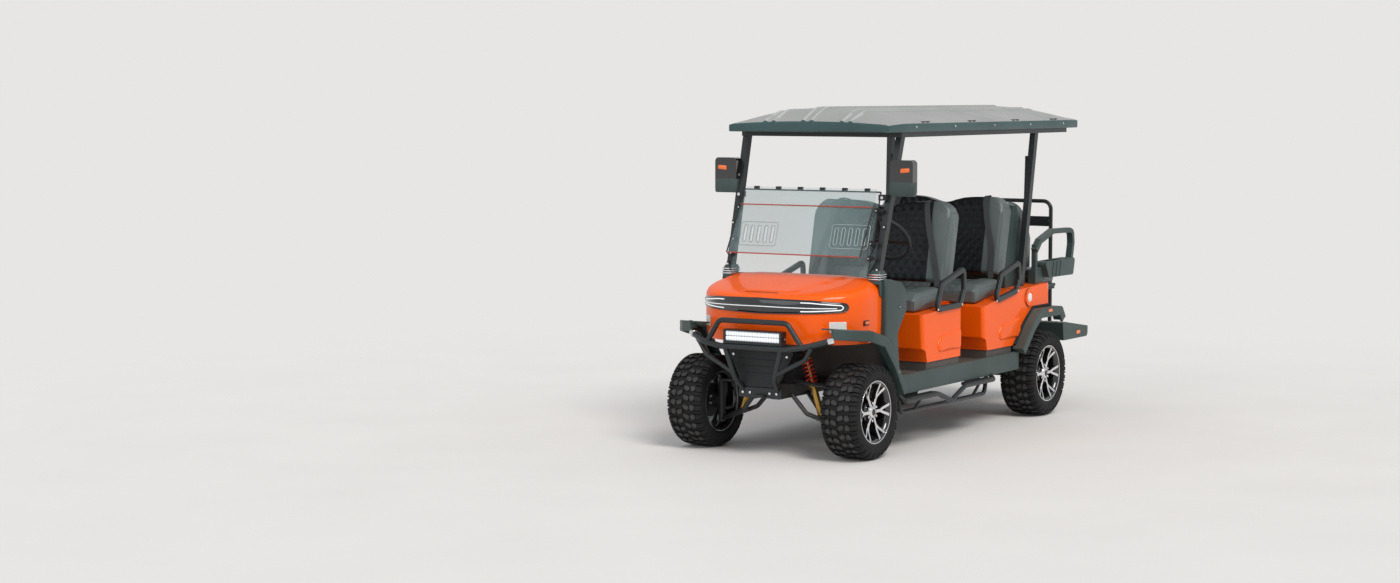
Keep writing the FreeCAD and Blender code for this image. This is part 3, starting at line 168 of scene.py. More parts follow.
orange_paint = finish_material("orange_paint", (0.95, 0.112, 0.0005), 0.42, coat=0.45, tint=0.05,
                               tint_scale=1.5, grain=1500.0, bump=0.02, rough_vary=0.04, specular=0.1)
grey_plastic = finish_material("grey_plastic", (0.040, 0.064, 0.060), 0.44, tint=0.16, grain=1400.0,
                               bump=0.25, dust=0.16, specular=0.4)
dark_plastic = finish_material("dark_plastic", (0.018, 0.021, 0.022), 0.5, tint=0.2, grain=1300.0,
                               bump=0.25, specular=0.35)
frame_black = finish_material("frame_black", (0.018, 0.018, 0.019), 0.5, tint=0.25, grain=700.0, bump=0.2,
                              dust=0.2)
tube_black = finish_material("tube_black", (0.014, 0.018, 0.020), 0.34, tint=0.15, grain=1100.0, bump=0.3)
gloss_black = finish_material("gloss_black", (0.008, 0.008, 0.009), 0.08, coat=1.0, tint=0.1, bump=0.02,
                              rough_vary=0.03)
roof_finish = finish_material("roof_finish", (0.075, 0.092, 0.098), 0.38, grain=1200.0, bump=0.2, dust=0.3)
# Painted sunlight: the roof's top takes a paler grey than its fascia, the sunlit look of the roof top
roof_top_painted_sunlight = finish_material("roof_top_painted_sunlight", (0.30, 0.312, 0.310), 0.42, tint=0.10, grain=1300.0, bump=0.15,
                           dust=0.35)
# Painted highlight: the rib tops are paler and glossier than the roof top, standing in for the glints along
# the ribs
roof_rib_painted_highlight = finish_material("roof_rib_painted_highlight", (0.42, 0.44, 0.44), 0.28, coat=0.4, tint=0.10, grain=1300.0,
                           bump=0.1, dust=0.2)
roof_fascia = finish_material("roof_fascia", (0.032, 0.076, 0.078), 0.36, grain=1200.0, bump=0.15)
floor_mat = finish_material("floor_mat", (0.088, 0.078, 0.070), 0.7, tint=0.2, grain=500.0, bump=0.4,
                            dust=0.3)
# The smooth vinyl is partly the seats' own grey and partly painted sunlight: it is lightened to the sunlit
# look of the bolsters and end panels
vinyl = finish_material("vinyl", (0.108, 0.133, 0.132), 0.36, grain=1600.0, bump=0.35, specular=0.6)
quilt_vinyl = finish_material("quilted_vinyl", (0.008, 0.011, 0.013), 0.40, tint=0.15, grain=1500.0,
                              bump=0.35, specular=0.3)
# Painted sunlight: a paler copy of the quilted vinyl for the sunlit cushion tops
quilt_painted_sunlit = finish_material("quilted_vinyl_painted_sunlit", (0.072, 0.092, 0.091), 0.40, tint=0.14, grain=1500.0,
                             bump=0.35)
webbing = finish_material("belt_webbing", (0.050, 0.054, 0.058), 0.6, tint=0.15, grain=1800.0, bump=0.6)
rubber = finish_material("rubber", (0.008, 0.008, 0.009), 0.68, tint=0.3, tint_scale=9.0, grain=600.0,
                         bump=0.3, dust=0.06, specular=0.3)
rubber_worn = finish_material("tread_tops", (0.030, 0.029, 0.028), 0.55, tint=0.35, tint_scale=14.0,
                              grain=500.0, bump=0.3)
steel_black = finish_material("steel_black", (0.02, 0.02, 0.021), 0.4, tint=0.25, grain=400.0, bump=0.3)
gold = finish_material("gold_anodised", (0.62, 0.36, 0.09), 0.32, metallic=1.0)
red_spring = finish_material("red_spring", (0.55, 0.015, 0.01), 0.3, coat=0.6, tint=0.1)
cast = finish_material("cast_metal", (0.05, 0.05, 0.052), 0.55, metallic=0.6, tint=0.3, grain=300.0,
                       bump=0.5)
bright_metal = finish_material("bright_metal", (0.78, 0.78, 0.79), 0.2, metallic=1.0, tint=0.06,
                               grain=2000.0, bump=0.05, rough_vary=0.06)
machined = finish_material("machined_alloy", (0.80, 0.80, 0.81), 0.22, metallic=1.0, tint=0.05,
                           grain=1800.0, bump=0.05, rough_vary=0.07)
mirror_glass = finish_material("mirror_glass", (0.85, 0.87, 0.88), 0.03, metallic=1.0, tint=0.01, bump=0.0,
                               rough_vary=0.01)
reflector = finish_material("lamp_reflector", (0.55, 0.57, 0.60), 0.3, metallic=0.9, tint=0.1)
white_plate = finish_material("white_plate", (0.78, 0.78, 0.77), 0.4, tint=0.05, bump=0.05)
slot_trim = finish_material("slot_trim", (0.45, 0.52, 0.52), 0.25, coat=0.5, tint=0.05)
red_line = finish_material("red_edge", (0.40, 0.04, 0.02), 0.3, coat=0.5, tint=0.1)
amber = finish_material("amber_lens", (0.9, 0.16, 0.01), 0.2, coat=0.8, tint=0.08)
red_lens = finish_material("red_lens", (0.55, 0.01, 0.01), 0.2, coat=0.8, tint=0.08)
battery_case = finish_material("battery_case", (0.1, 0.1, 0.11), 0.6)
white_lamp = lamp_material("white_lamp", (0.9, 0.93, 0.95), 0.25)
lit_cells = lamp_material("lit_cells", (0.80, 0.84, 0.88), 0.30)
windscreen = glass_material("windscreen", (0.26, 0.38, 0.39), 0.16)

looks = {
    "frame_steel": frame_black, "floor_mat": floor_mat, "trim_plastic": grey_plastic,
    "cowl_grey": grey_plastic, "orange_paint": orange_paint, "gloss_black": gloss_black,
    "lamp_white": white_lamp, "black_tube": tube_black, "windscreen": windscreen, "roof_black": roof_finish,
    "seat_black": vinyl, "suspension_steel": steel_black, "damper_gold": gold, "spring_red": red_spring,
    "cast_metal": cast, "tyre_rubber": rubber, "rim_alloy": gloss_black, "wheel_grip": dark_plastic,
    "pedal_metal": bright_metal, "battery_case": battery_case,
}
for subpart in frame["record"]["subparts"]:
    mesh = nodes[subpart["node"]].data
    mesh.materials.clear()
    mesh.materials.append(looks[subpart["material_slot"]])
nodes["front_panel"].data.materials[0] = dark_plastic


# Helpers for geometry
def ring_points(centre, side, up, radius, sides):
    """Circle of points in the plane of two ways."""
    turns = [2 * pi * i / sides for i in range(sides)]
    return [centre + side * (radius * cos(t)) + up * (radius * sin(t)) for t in turns]


def way_at(path, i):
    """Direction of an open line of points at one of them."""
    return (path[min(i + 1, len(path) - 1)] - path[max(i - 1, 0)]).normalized()


def soften(obj, width, segments=2, angle=35):
    """Rounded edges."""
    bevel = obj.modifiers.new("edges", "BEVEL")
    bevel.width = width
    bevel.segments = segments
    bevel.limit_method = "ANGLE"
    bevel.angle_limit = radians(angle)
    bevel.harden_normals = True


def sharpen(obj, angle):
    """Smooth shading that breaks at sharp edges."""
    edges = bmesh.new()
    edges.from_mesh(obj.data)
    for edge in edges.edges:
        edge.smooth = len(edge.link_faces) == 2 and edge.calc_face_angle(0.0) < radians(angle)
    edges.to_mesh(obj.data)
    edges.free()


class Builder:
    """Collects solids, in metres, into one mesh; mark picks the material slot of what is added."""

    def __init__(self):
        self.points = []
        self.faces = []
        self.marks = []

    def add(self, points, faces, mark=0):
        base = len(self.points)
        self.points += [Vector(p) for p in points]
        self.faces += [[base + i for i in face] for face in faces]
        self.marks += [mark] * len(faces)

    def join(self, other):
        base = len(self.points)
        self.points += other.points
        self.faces += [[base + i for i in face] for face in other.faces]
        self.marks += other.marks

    def loft(self, rings, mark=0, caps=True, closed=True, cap_mark=None):
        """Skin over rings of equal counts."""
        count = len(rings[0])
        points = [p for ring in rings for p in ring]
        faces = []
        for start in range(0, len(points) - count, count):
            for i in range(count if closed else count - 1):
                j = (i + 1) % count
                faces.append([start + i, start + j, start + count + j, start + count + i])
        self.add(points, faces, mark)
        if caps:
            base = len(self.points) - len(points)
            last = len(self.points) - count
            self.faces += [[base + i for i in range(count)], [last + i for i in range(count)]]
            self.marks += [mark, mark if cap_mark is None else cap_mark]

    def box(self, corner, far, mark=0):
        """Upright box between two opposite corners."""
        a, b = [[pick(pair) for pair in zip(corner, far)] for pick in (min, max)]
        lower = [(a[0], a[1], a[2]), (b[0], a[1], a[2]), (b[0], b[1], a[2]), (a[0], b[1], a[2])]
        self.loft([lower, [(*p[:2], b[2]) for p in lower]], mark)

    def rod(self, start, end, radius, sides=16, mark=0, end_radius=None):
        """Straight round bar or cone."""
        way = (end - start).normalized()
        side = way.orthogonal().normalized()
        up = way.cross(side)
        self.loft([ring_points(start, side, up, radius, sides),
                   ring_points(end, side, up, end_radius or radius, sides)], mark)

    def tube(self, path, radius, sides=12, mark=0):
        """Round bar along a line of points."""
        rings = []
        side = way_at(path, 0).orthogonal().normalized()
        for i, point in enumerate(path):
            way = way_at(path, i)
            side = (side - way * side.dot(way)).normalized()
            rings.append(ring_points(point, side, way.cross(side), radius, sides))
        self.loft(rings, mark)

    def strip(self, path, across, wide, thick, mark=0):
        """Flat bar along a line; across is its wide direction."""
        across = Vector(across).normalized()
        rings = []
        for i, point in enumerate(path):
            up = way_at(path, i).cross(across).normalized()
            rings.append([point + across * (sx * wide / 2) + up * (sy * thick / 2)
                          for sx, sy in ((-1, -1), (1, -1), (1, 1), (-1, 1))])
        self.loft(rings, mark)

    def ring_tube(self, loop, radius, sides, mark=0):
        """Round bar along a closed line."""
        self.tube(loop + [loop[0]], radius, sides, mark)

    def revolve(self, profile, centre, sides=64, mark=0):
        """Turned skin about the X axis through a centre, from (x, radius) in millimetres."""
        rings = []
        for i in range(sides):
            turn = 2 * pi * i / sides
            rings.append([centre + Vector((x, r * sin(turn), r * cos(turn))) / 1000 for x, r in profile])
        self.loft(rings + [rings[0]], mark, caps=False)

    def mirrored(self):
        """Adds the other side of everything collected so far."""
        points = [Vector((-p.x, p.y, p.z)) for p in self.points]
        base = len(points)
        self.points += points
        self.faces += [[base + i for i in face[::-1]] for face in self.faces]
        self.marks += self.marks

    def make(self, name, mats, slot, body="vehicle", bevel=0.0, smooth=True, angle=35, stands_for=()):
        """Object of all that was collected; stands_for names the nodes that it replaces."""
        mesh = bpy.data.meshes.new(name)
        mesh.from_pydata([tuple(p) for p in self.points], [], self.faces)
        for mat in mats:
            mesh.materials.append(mat)
        mesh.polygons.foreach_set("material_index", self.marks)
        mesh.polygons.foreach_set("use_smooth", [smooth] * len(mesh.polygons))
        mesh.update()
        clean = bmesh.new()
        clean.from_mesh(mesh)
        bmesh.ops.recalc_face_normals(clean, faces=clean.faces[:])
        clean.to_mesh(mesh)
        clean.free()
        obj = bpy.data.objects.new(name, mesh)
        scene.collection.objects.link(obj)
        if bevel:
            soften(obj, bevel, angle=angle)
        elif smooth:
            sharpen(obj, angle)
        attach(obj, body)
        if stands_for:
            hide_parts(*stands_for)
        return obj


def bent(corners, bend, step=9):
    """Line of points whose corners are rounded by arcs."""
    corners = [Vector(p) for p in corners]
    run = [corners[0]]
    for before, corner, after in zip(corners, corners[1:], corners[2:]):
        back = (before - corner).normalized()
        ahead = (after - corner).normalized()
        half = back.angle(ahead) / 2
        turn = pi - 2 * half
        reach = min(bend / tan(half), (before - corner).length * 0.48, (after - corner).length * 0.48)
        centre = corner + (back + ahead).normalized() * (reach * tan(half) / sin(half))
        start = corner + back * reach - centre
        axis = start.cross(corner + ahead * reach - centre)
        count = max(1, ceil(degrees(turn) / step))
        run += [centre + Matrix.Rotation(turn * i / count, 3, axis) @ start for i in range(count + 1)]
    run.append(corners[-1])
    return run


def bent_loop(corners, bend, step=9):
    """Closed outline with rounded corners."""
    corners = [Vector(p) for p in corners]
    middle = (corners[0] + corners[-1]) / 2
    return bent([middle] + corners + [middle], bend, step)[:-1]


def rounded_box(low, high, bend, step, grow=0):
    """Outline of a rounded rectangle, grown on all sides."""
    (a, c), (b, d) = low, high
    return bent_loop([(a - grow, c - grow, 0), (b + grow, c - grow, 0), (b + grow, d + grow, 0),
                      (a - grow, d + grow, 0)], bend, step)


def curve_through(points, steps):
    """Smooth line through points."""
    points = [Vector(p) for p in points]
    ends = [2 * points[0] - points[1]] + points + [2 * points[-1] - points[-2]]
    run = []
    for a, b, c, d in zip(ends, ends[1:], ends[2:], ends[3:]):
        for i in range(steps):
            t = i / steps
            run.append(0.5 * ((2 * b) + (c - a) * t + (2 * a - 5 * b + 4 * c - d) * t * t
                              + (3 * b - a - 3 * c + d) * t * t * t))
    run.append(points[-1])
    return run


# Wheels
def tyre_piece():
    tyre = Builder()
    half = [(0, 280), (50, 279.5), (92, 276), (108, 271), (117, 265), (122, 256), (125, 246), (126, 234),
            (125, 220), (121, 208), (115, 199), (109, 195.5), (101, 193), (101, 182.5)]
    tyre.revolve(half[::-1] + [(-x, r) for x, r in half[1:]], Vector(), 96)
    pitches = 30

    def spot(x, turn, radius):
        angle = 2 * pi * turn / pitches
        return Vector((x, radius * sin(angle), radius * cos(angle))) / 1000

    def crown(x):
        return 291.5 - 7.0 * (abs(x) / 112) ** 3

    # Tread blocks: corners as distance across and part of a pitch along
    centre_block = [(3, 0.10), (14, 0.02), (40, 0.16), (46, 0.40), (34, 0.62), (16, 0.50), (6, 0.42)]
    middle_block = [(49, 0.24), (58, 0.04), (82, 0.08), (86, 0.34), (76, 0.60), (56, 0.62), (53, 0.44)]
    # Shoulder lugs: stations across with the outer radius and where the lug starts and ends along the tread
    stations = [(88, 289.5, 0.10, 0.56), (106, 286.0, 0.12, 0.60), (119, 277.0, 0.15, 0.60),
                (126.5, 262.0, 0.18, 0.58), (127, 246.0, 0.24, 0.52)]
    for side, shift in ((1, 0.0), (-1, 0.5)):
        for i in range(pitches):
            for outline in (centre_block, middle_block):
                middle_x = sum(x for x, t in outline) / len(outline)
                middle_t = sum(t for x, t in outline) / len(outline)
                tyre.loft([[spot(side * (middle_x + (x - middle_x) * scale),
                                 i + shift + middle_t + (t - middle_t) * scale, crown(x) - sink)
                            for x, t in outline]
                           for scale, sink in ((1.08, 12.0), (1.0, 1.2), (0.95, 0.0))], 0, cap_mark=1)
            for begin, wide, last in ((0.0, 1.0, 5), (0.66, 0.42, 4)):
                rings = []
                for x, radius, low, high in stations[:last]:
                    near = i + shift + begin + low * wide
                    far = i + shift + begin + high * wide
                    rings.append([spot(side * x, near, radius), spot(side * x, far, radius),
                                  spot(side * (x - 8), far, radius - 12),
                                  spot(side * (x - 8), near, radius - 12)])
                tyre.loft(rings)
    # Thin raised rings on the sidewalls
    for side in (1, -1):
        for x, radius in ((126.0, 230), (121.5, 210)):
            tyre.revolve([(side * (x + out), radius + up)
                          for out, up in ((-3, -2), (0.6, -1), (0.6, 1), (-3, 2))],
                         Vector(), 72)
    return tyre


def rim_piece():
    """Rim with its open face towards +X: black barrel, six forked spokes with bright faces."""
    rim = Builder()
    front = [(100, 181.8), (105, 184), (108.5, 192.5), (111.5, 194), (113, 192.5), (112.4, 187), (109, 180),
             (104, 174), (97, 169), (84, 165), (60, 160)]
    rim.revolve(front + [(-x, r) for x, r in front[::-1]] + [(0, 181.0)], Vector(), 96)
    rim.revolve([(112.2, 193.8), (114, 192.8), (113.4, 188.4), (111.8, 188.0)], Vector(), 96, 1)

    # Spoke face as (across, outward): a stem that forks into two arms
    shares = [0.0, 0.2, 0.4, 0.6, 0.8, 1.0]
    outer = [(8 + 35 * t, 96 + 84.5 * t) for t in shares]
    inner = [(27 * t, 117 + 67.5 * t) for t in shares]
    stem = [(10.5 - 2.5 * t, 38 + 58 * t) for t in (0.0, 0.33, 0.66, 1.0)]
    tops = [[(-a[0], a[1]), a, b, (-b[0], b[1])] for a, b in zip(stem, stem[1:])]
    tops.append([(-8, 96), (8, 96), (0, 117)])
    for a, b, c, d in zip(outer, outer[1:], inner[1:], inner):
        tops += [[a, b, c, d], [(-y, z) for y, z in (d, c, b, a)]]
    edge = stem + outer[1:] + inner[::-1]
    edge += [(-y, z) for y, z in inner[1:] + outer[::-1] + stem[-2::-1]]
    normals = []
    for before, after in zip(edge[-1:] + edge[:-1], edge[1:] + edge[:1]):
        way = Vector((after[0] - before[0], after[1] - before[1])).normalized()
        normals.append((way.y, -way.x))
    for turn in range(6):
        spin = Matrix.Rotation(radians(60 * turn + 30), 3, "X")

        def spot(y, z, sink=0.0):
            radius = hypot(y, z)
            face_x = 88 + 23 * smooth_step((radius - 105) / 88) + 8 * max(0.0, (60 - radius) / 60)
            return spin @ (Vector((face_x - sink, y, z)) / 1000)

        for top in tops:
            rim.add([spot(y, z) for y, z in top], [list(range(len(top)))], 1)
        rim.loft([[spot(y + out[0] * grow, z + out[1] * grow, sink) for (y, z), out in zip(edge, normals)]
                  for sink, grow in ((0, 0), (1.6, 1.2), (22, 2.2))], caps=False)
        # Nut between two spokes
        nut = Matrix.Rotation(radians(60 * turn), 3, "X") @ Vector((0, 0, 0.054))
        for low, high, radius, sides in ((0.070, 0.090, 0.0085, 6), (0.090, 0.092, 0.006, 12)):
            rim.rod(nut + Vector((low, 0, 0)), nut + Vector((high, 0, 0)), radius, sides, 1)
    # Hub, its cap and the brake disc with holes
    rim.revolve([(72, 0.1), (72, 66), (66, 72), (40, 74), (40, 0.1)], Vector(), 48)
    rim.revolve([(97, 0.1), (97.4, 22), (96, 31), (93, 36), (80, 43), (70, 44), (70, 0.1)], Vector(), 48, 1)
    rim.revolve([(98, 0.1), (98, 19), (97, 21), (96, 21), (96, 0.1)], Vector(), 48, 2)
    rim.revolve([(-26, 104), (-28, 106), (-32, 106), (-34, 104), (-34, 30), (-26, 30)], Vector(), 64, 2)
    for i in range(36):
        hole = Matrix.Rotation(radians(10 * i), 3, "X") @ Vector((-0.0255, 0, 0.078 + 0.012 * (i % 3 - 1)))
        rim.rod(hole, hole + Vector((0.0008, 0, 0)), 0.003, 8)
    return rim


wheel_pieces = (("tread_tyre_", tyre_piece(), [rubber, rubber_worn], "tyre_rubber", "tyre_"),
                ("forked_rim_", rim_piece(), [gloss_black, machined, cast], "rim_alloy", "rim_"))
wheel_meshes = {}
for corner, side, y in (("front_left", 1, 0), ("front_right", -1, 0),
                        ("rear_left", 1, REAR_AXLE), ("rear_right", -1, REAR_AXLE)):
    for label, shape, mats, slot, node in wheel_pieces:
        if label not in wheel_meshes:
            piece = shape.make(label + corner, mats, slot, "wheel_" + corner, angle=28,
                               stands_for=[node + corner])
            wheel_meshes[label] = piece.data
        else:
            piece = bpy.data.objects.new(label + corner, wheel_meshes[label])
            scene.collection.objects.link(piece)
            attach(piece, "wheel_" + corner)
            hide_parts(node + corner)
        piece.location = mm(side * HALF_TRACK, y, TYRE_RADIUS)
        if side < 0:
            piece.rotation_euler = (0, 0, pi)


# Nose: plan of one side from the rear edge to the middle, then rows upward with
# height at the front, half width, reach forward and height at the rear
NOSE_REAR = 250
NOSE_HALF = 560
NOSE_LENGTH = 530
NOSE_PLAN = [(560, 250), (560, 150), (560, 70), (545, -5), (508, -75), (436, -152), (344, -212),
             (180, -262), (0, -280)]
NOSE_ROWS = [(700, 554, 258, 700), (770, 558, 272, 770), (850, 560, 280, 850), (905, 560, 280, 910),
             (948, 560, 280, 960), (965, 557, 279, 1003), (976, 544, 275, 1040), (983, 526, 270, 1061),
             (989, 500, 262, 1075), (994, 462, 252, 1084), (999, 400, 238, 1089), (1004, 300, 220, 1091),
             (1008, 150, 204, 1092), (1009, 0.5, 198, 1092)]
CREASE_FRONT = 170
CREASE_REAR = 330
right_plan = curve_through([(x, y, 0) for x, y in NOSE_PLAN], 9)
full_plan = right_plan + [Vector((-p.x, p.y, 0)) for p in right_plan[-2::-1]]
plan_table = [(p.x, p.y) for p in right_plan[::-1]]


def nose_ring(front_z, half, reach, rear_z):
    slope = (rear_z - front_z) / (reach + NOSE_REAR)
    ring = []
    for p in full_plan:
        y = NOSE_REAR + (p.y - NOSE_REAR) * (reach + NOSE_REAR) / NOSE_LENGTH
        ring.append(Vector((p.x * half / NOSE_HALF, y, rear_z + (y - NOSE_REAR) * slope)))
    return ring


def nose_front(x):
    """How far forward the nose reaches at a distance from the middle."""
    return along(plan_table, abs(x))[1]


def nose_point(x, z, proud=0.0):
    """Point on the front of the nose, or a little outside it."""
    half, reach = along(NOSE_ROWS, z)[1:3]
    plan_x = abs(x) * NOSE_HALF / half
    stretch = (reach + NOSE_REAR) / NOSE_LENGTH
    slope = (nose_front(plan_x + 3) - nose_front(plan_x - 3)) / 6 * stretch
    out = Vector((slope, -1)).normalized() * proud
    return mm(x + copysign(out.x, x), NOSE_REAR + (nose_front(plan_x) - NOSE_REAR) * stretch + out.y, z)


rows = [nose_ring(*row) for row in NOSE_ROWS]
columns = [curve_through([row[i] for row in rows], 4) for i in range(len(full_plan))]
nose = Builder()
rings = []
for r in range(len(columns[0])):
    ring = []
    for column in columns:
        x, y, z = column[r]
        # The hood's middle is raised inside a crease that widens to the rear
        edge = CREASE_FRONT + (y + 200) / 450 * (CREASE_REAR - CREASE_FRONT)
        raised = smooth_step((edge - abs(x)) / 16 + 0.5) * smooth_step((r - 26) / 8)
        raised *= smooth_step((y + 196) / 30)
        ring.append(mm(x, y, z + 4.5 * raised))
    rings.append(ring)
nose.loft(rings, caps=False, closed=False)
hood = nose.make("nose_shell", [orange_paint], "orange_paint", angle=60, stands_for=["front_cowl"])
wall = hood.modifiers.new("wall", "SOLIDIFY")
wall.thickness = 0.006
wall.offset = -1.0

# Dark underline on the hood, blank plates and amber markers on the nose
trim = Builder()
trim.strip([mm(x, -206 + 0.00028 * x * x, 1010.6) for x in range(-150, 91, 20)], (0, 1, -0.2), 0.006,
           0.0016)
trim.make("hood_underline", [dark_plastic], "trim_plastic", bevel=0.0004)

plates = Builder()
for side in SIDES:
    rings = []
    for proud, shrink in ((-2, 0), (2.2, 0), (3.2, 2)):
        run = [shrink + (76 - 2 * shrink) * i / 11 for i in range(12)]
        ring = [(424 + x, 778 + shrink) for x in run] + [(500 - x, 842 - shrink) for x in run]
        rings.append([nose_point(side * x, z, proud) for x, z in ring])
    plates.loft(rings)
plates.make("blank_plates", [white_plate], "lamp_white", smooth=False)

markers = Builder()
recess = bent_loop([(-34, -15, 0), (34, -17, 0), (30, 16, 0), (-30, 14, 0)], 9, 20)
lens = bent_loop([(-25, -8, 0), (25, -9, 0), (22, 9, 0), (-22, 8, 0)], 6, 20)
for side in SIDES:
    for outline, levels, mark in ((recess, ((-4, 1.0), (3.4, 1.0), (4.2, 0.95)), 0),
                                  (lens, ((3, 1.0), (8.5, 1.0), (10, 0.85)), 1)):
        markers.loft([[mm(side * (559 + lift), 63 + p.x * scale, 828 + p.y * scale) for p in outline]
                      for lift, scale in levels], mark)
markers.make("nose_markers", [dark_plastic, amber], "trim_plastic", angle=50)

# Lamp band: smooth black lens with a rim, thin lines of light over it
LAMP_LOW = [(0, 888), (330, 893), (480, 900), (500, 906), (508, 920)]
LAMP_HIGH = [(0, 980), (330, 972), (480, 957), (500, 952), (508, 938)]


def lamp_edge(table, x, inset=0):
    return x, along(table, abs(x))[1] + inset


right_spots = [0, 30, 60, 100, 140, 180, 220, 260, 300, 330, 360, 390, 420, 450, 480, 492, 500, 505, 508]
spots = [-x for x in right_spots[:0:-1]] + right_spots
section = [(0.0, -6), (0.0, 2.5), (0.03, 4.6), (0.2, 5.2), (0.5, 5.5), (0.8, 5.2), (0.97, 4.6), (1.0, 2.5),
           (1.0, -6)]
lens = Builder()
rings = []
for x in spots:
    low_z = lamp_edge(LAMP_LOW, x)[1]
    high_z = lamp_edge(LAMP_HIGH, x)[1]
    rings.append([nose_point(x, low_z + (high_z - low_z) * share, proud) for share, proud in section])
lens.loft(rings)
border = [lamp_edge(LAMP_LOW, x) for x in spots] + [lamp_edge(LAMP_HIGH, x) for x in spots[::-1]]
lens.ring_tube([nose_point(x, z, 4.5) for x, z in border], 0.0028, 8)
lens.make("lamp_lens", [gloss_black], "gloss_black", angle=50, stands_for=["headlamp_panel"])

lights = Builder()
bracket_spots = (270, 300, 330, 360, 390, 420, 450, 478)
bracket = [lamp_edge(LAMP_HIGH, x, -15) for x in bracket_spots] + [(490, 930)]
bracket += [lamp_edge(LAMP_LOW, x, 13) for x in bracket_spots[::-1]]
for side in SIDES:
    lights.tube(bent([nose_point(side * x, z, 6.5) for x, z in bracket], 0.012, 15), 0.0036, 10)
lights.tube([nose_point(x, 930 - 6 * abs(x) / 460, 6.5) for x in range(-460, 461, 20)], 0.0026, 10)
lights.make("lamp_lines", [white_lamp], "lamp_white", angle=60, stands_for=["drl_strips"])

# Light bar face, its cells and end caps
bar = Builder()
bar.box(mm(-191, -353, 716), mm(191, -350.5, 777))
octagon = ((-1, -0.6), (-0.6, -1), (0.6, -1), (1, -0.6), (1, 0.6), (0.6, 1), (-0.6, 1), (-1, 0.6))
for i in range(20):
    for z in (731.5, 761.5):
        x = -180.5 + i * 19
        bar.loft([[mm(x + sx * size, y, z + sz * size * 1.45) for sx, sz in octagon]
                  for size, y in ((9.0, -353), (8.6, -357), (5.0, -359.5))], 1)
bar.make("light_bar_cells", [reflector, lit_cells], "lamp_white", bevel=0.0006)
caps = Builder()
for side in SIDES:
    for i in range(6):
        z = 704 + i * 15
        caps.box(mm(side * 205, -358, z), mm(side * 209, -304, z + 6))
    caps.rod(mm(side * 204, -331, 741), mm(side * 214, -331, 741), 0.013, 20)
    caps.rod(mm(side * 214, -331, 741), mm(side * 218, -331, 741), 0.007, 6, 1)
caps.make("light_bar_ends", [tube_black, bright_metal], "black_tube", bevel=0.0008)

# Guard: main tube, hoop and plate, then the limbs of both sides
guard = Builder()
main = [mm(500, -245, 740), mm(360, -337, 700), mm(235, -351, 680), mm(-235, -351, 680),
        mm(-360, -337, 700), mm(-500, -245, 740)]
guard.tube(bent(main, 0.07), 0.019, 20)
guard.tube(bent([mm(335, -337, 700), mm(240, -351, 840), mm(-240, -351, 840), mm(-335, -337, 700)], 0.05),
           0.0165, 18)
guard.box(mm(-152, -264, 364), mm(152, -249, 427))
limbs = Builder()
limbs.tube(bent([mm(200, -351, 680), mm(140, -333, 490), mm(120, -245, 400)], 0.06), 0.0165, 18)
limbs.tube(bent([mm(395, -326, 695), mm(350, -326, 620), mm(150, -334, 520)], 0.05), 0.0145, 16)
limbs.rod(mm(503, -244, 741), mm(478, -260, 734), 0.0232, 24, 1)
limbs.rod(mm(478, -260, 734), mm(472, -264, 732), 0.0205, 24, 1)
limbs.rod(mm(120, -266, 395), mm(120, -272, 395), 0.009, 6, 1)
limbs.rod(mm(70, -264, 395), mm(70, -270, 395), 0.009, 6, 1)
limbs.mirrored()
guard.join(limbs)
guard.make("tube_guard", [tube_black, bright_metal], "black_tube", bevel=0.0015, angle=50,
           stands_for=["brush_guard"])

# Panel behind the guard: pressed ribs and bolts
ribs = Builder()
for i in range(3):
    z = 600 - i * 42
    wide = 150 - i * 22
    line = [mm(-wide, -263, z), mm(-wide + 20, -264, z - 6), mm(wide - 20, -264, z - 6), mm(wide, -263, z)]
    ribs.strip(bent(line, 0.02), (0, 0, 1), 0.012, 0.006)
for x in (-190, 190):
    ribs.rod(mm(x, -262, 625), mm(x, -267, 625), 0.008, 12, 1)
ribs.make("guard_panel_ribs", [dark_plastic, bright_metal], "trim_plastic", bevel=0.001)

# Vents and bolts on the front flares
flare = Builder()
for i in range(4):
    y = -60 + i * 26
    flare.strip([mm(620, y, 792 - i * 6.2), mm(652, y + 10, 791 - i * 6.2)], (0, 1, -0.25), 0.008, 0.005)
for y, z in ((-60, 772), (110, 698), (250, 520)):
    flare.rod(mm(689, y, z), mm(693, y, z), 0.007, 12, 1)
flare.mirrored()
flare.make("front_flare_trim", [dark_plastic, bright_metal], "trim_plastic", bevel=0.0008)


def flare_lip(builder, line, depths, proud=4.0):
    """Rounded lip hung along the outer edge of a flare; depths are how far it hangs at each point."""
    rings = []
    for i, (p, deep) in enumerate(zip(line, depths)):
        way = way_at(line, i)
        flat = Vector((way.y, -way.x, 0))
        out = flat.normalized() if flat.length > 0.05 and abs(way.x) >= 0.02 else Vector((1, 0, 0))
        down = out.cross(way).normalized()
        if down.z > 0:
            down = -down
        section = [(-16, 1), (-4, -1), (proud - 1, 0.5), (proud + 1, 4), (proud + 1.5, 12),
                   (proud, deep * 0.5), (proud + 1, deep - 10), (proud, deep - 3), (proud - 4, deep),
                   (-12, deep - 1), (-16, deep - 6)]
        rings.append([mm(*(p + out * a + down * b)) for a, b in section])
    builder.loft(rings)


lips = Builder()
front_line = bent([(506, -258, 812), (598, -204, 807), (688, -96, 796), (688, 84, 747), (688, 240, 555),
                   (688, 345, 400)], 55, 10)
flare_lip(lips, front_line, [66 - 26 * smooth_step((p.y - 60) / 90) for p in front_line])
rear_line = bent([(672, 2060, 502), (672, 2219, 657), (672, 2353, 747), (672, 2701, 745),
                  (672, 2755, 672)], 50, 10)
flare_lip(lips, rear_line, [62] * len(rear_line))
lips.mirrored()
lips.make("flare_lips", [grey_plastic], "trim_plastic", angle=40)

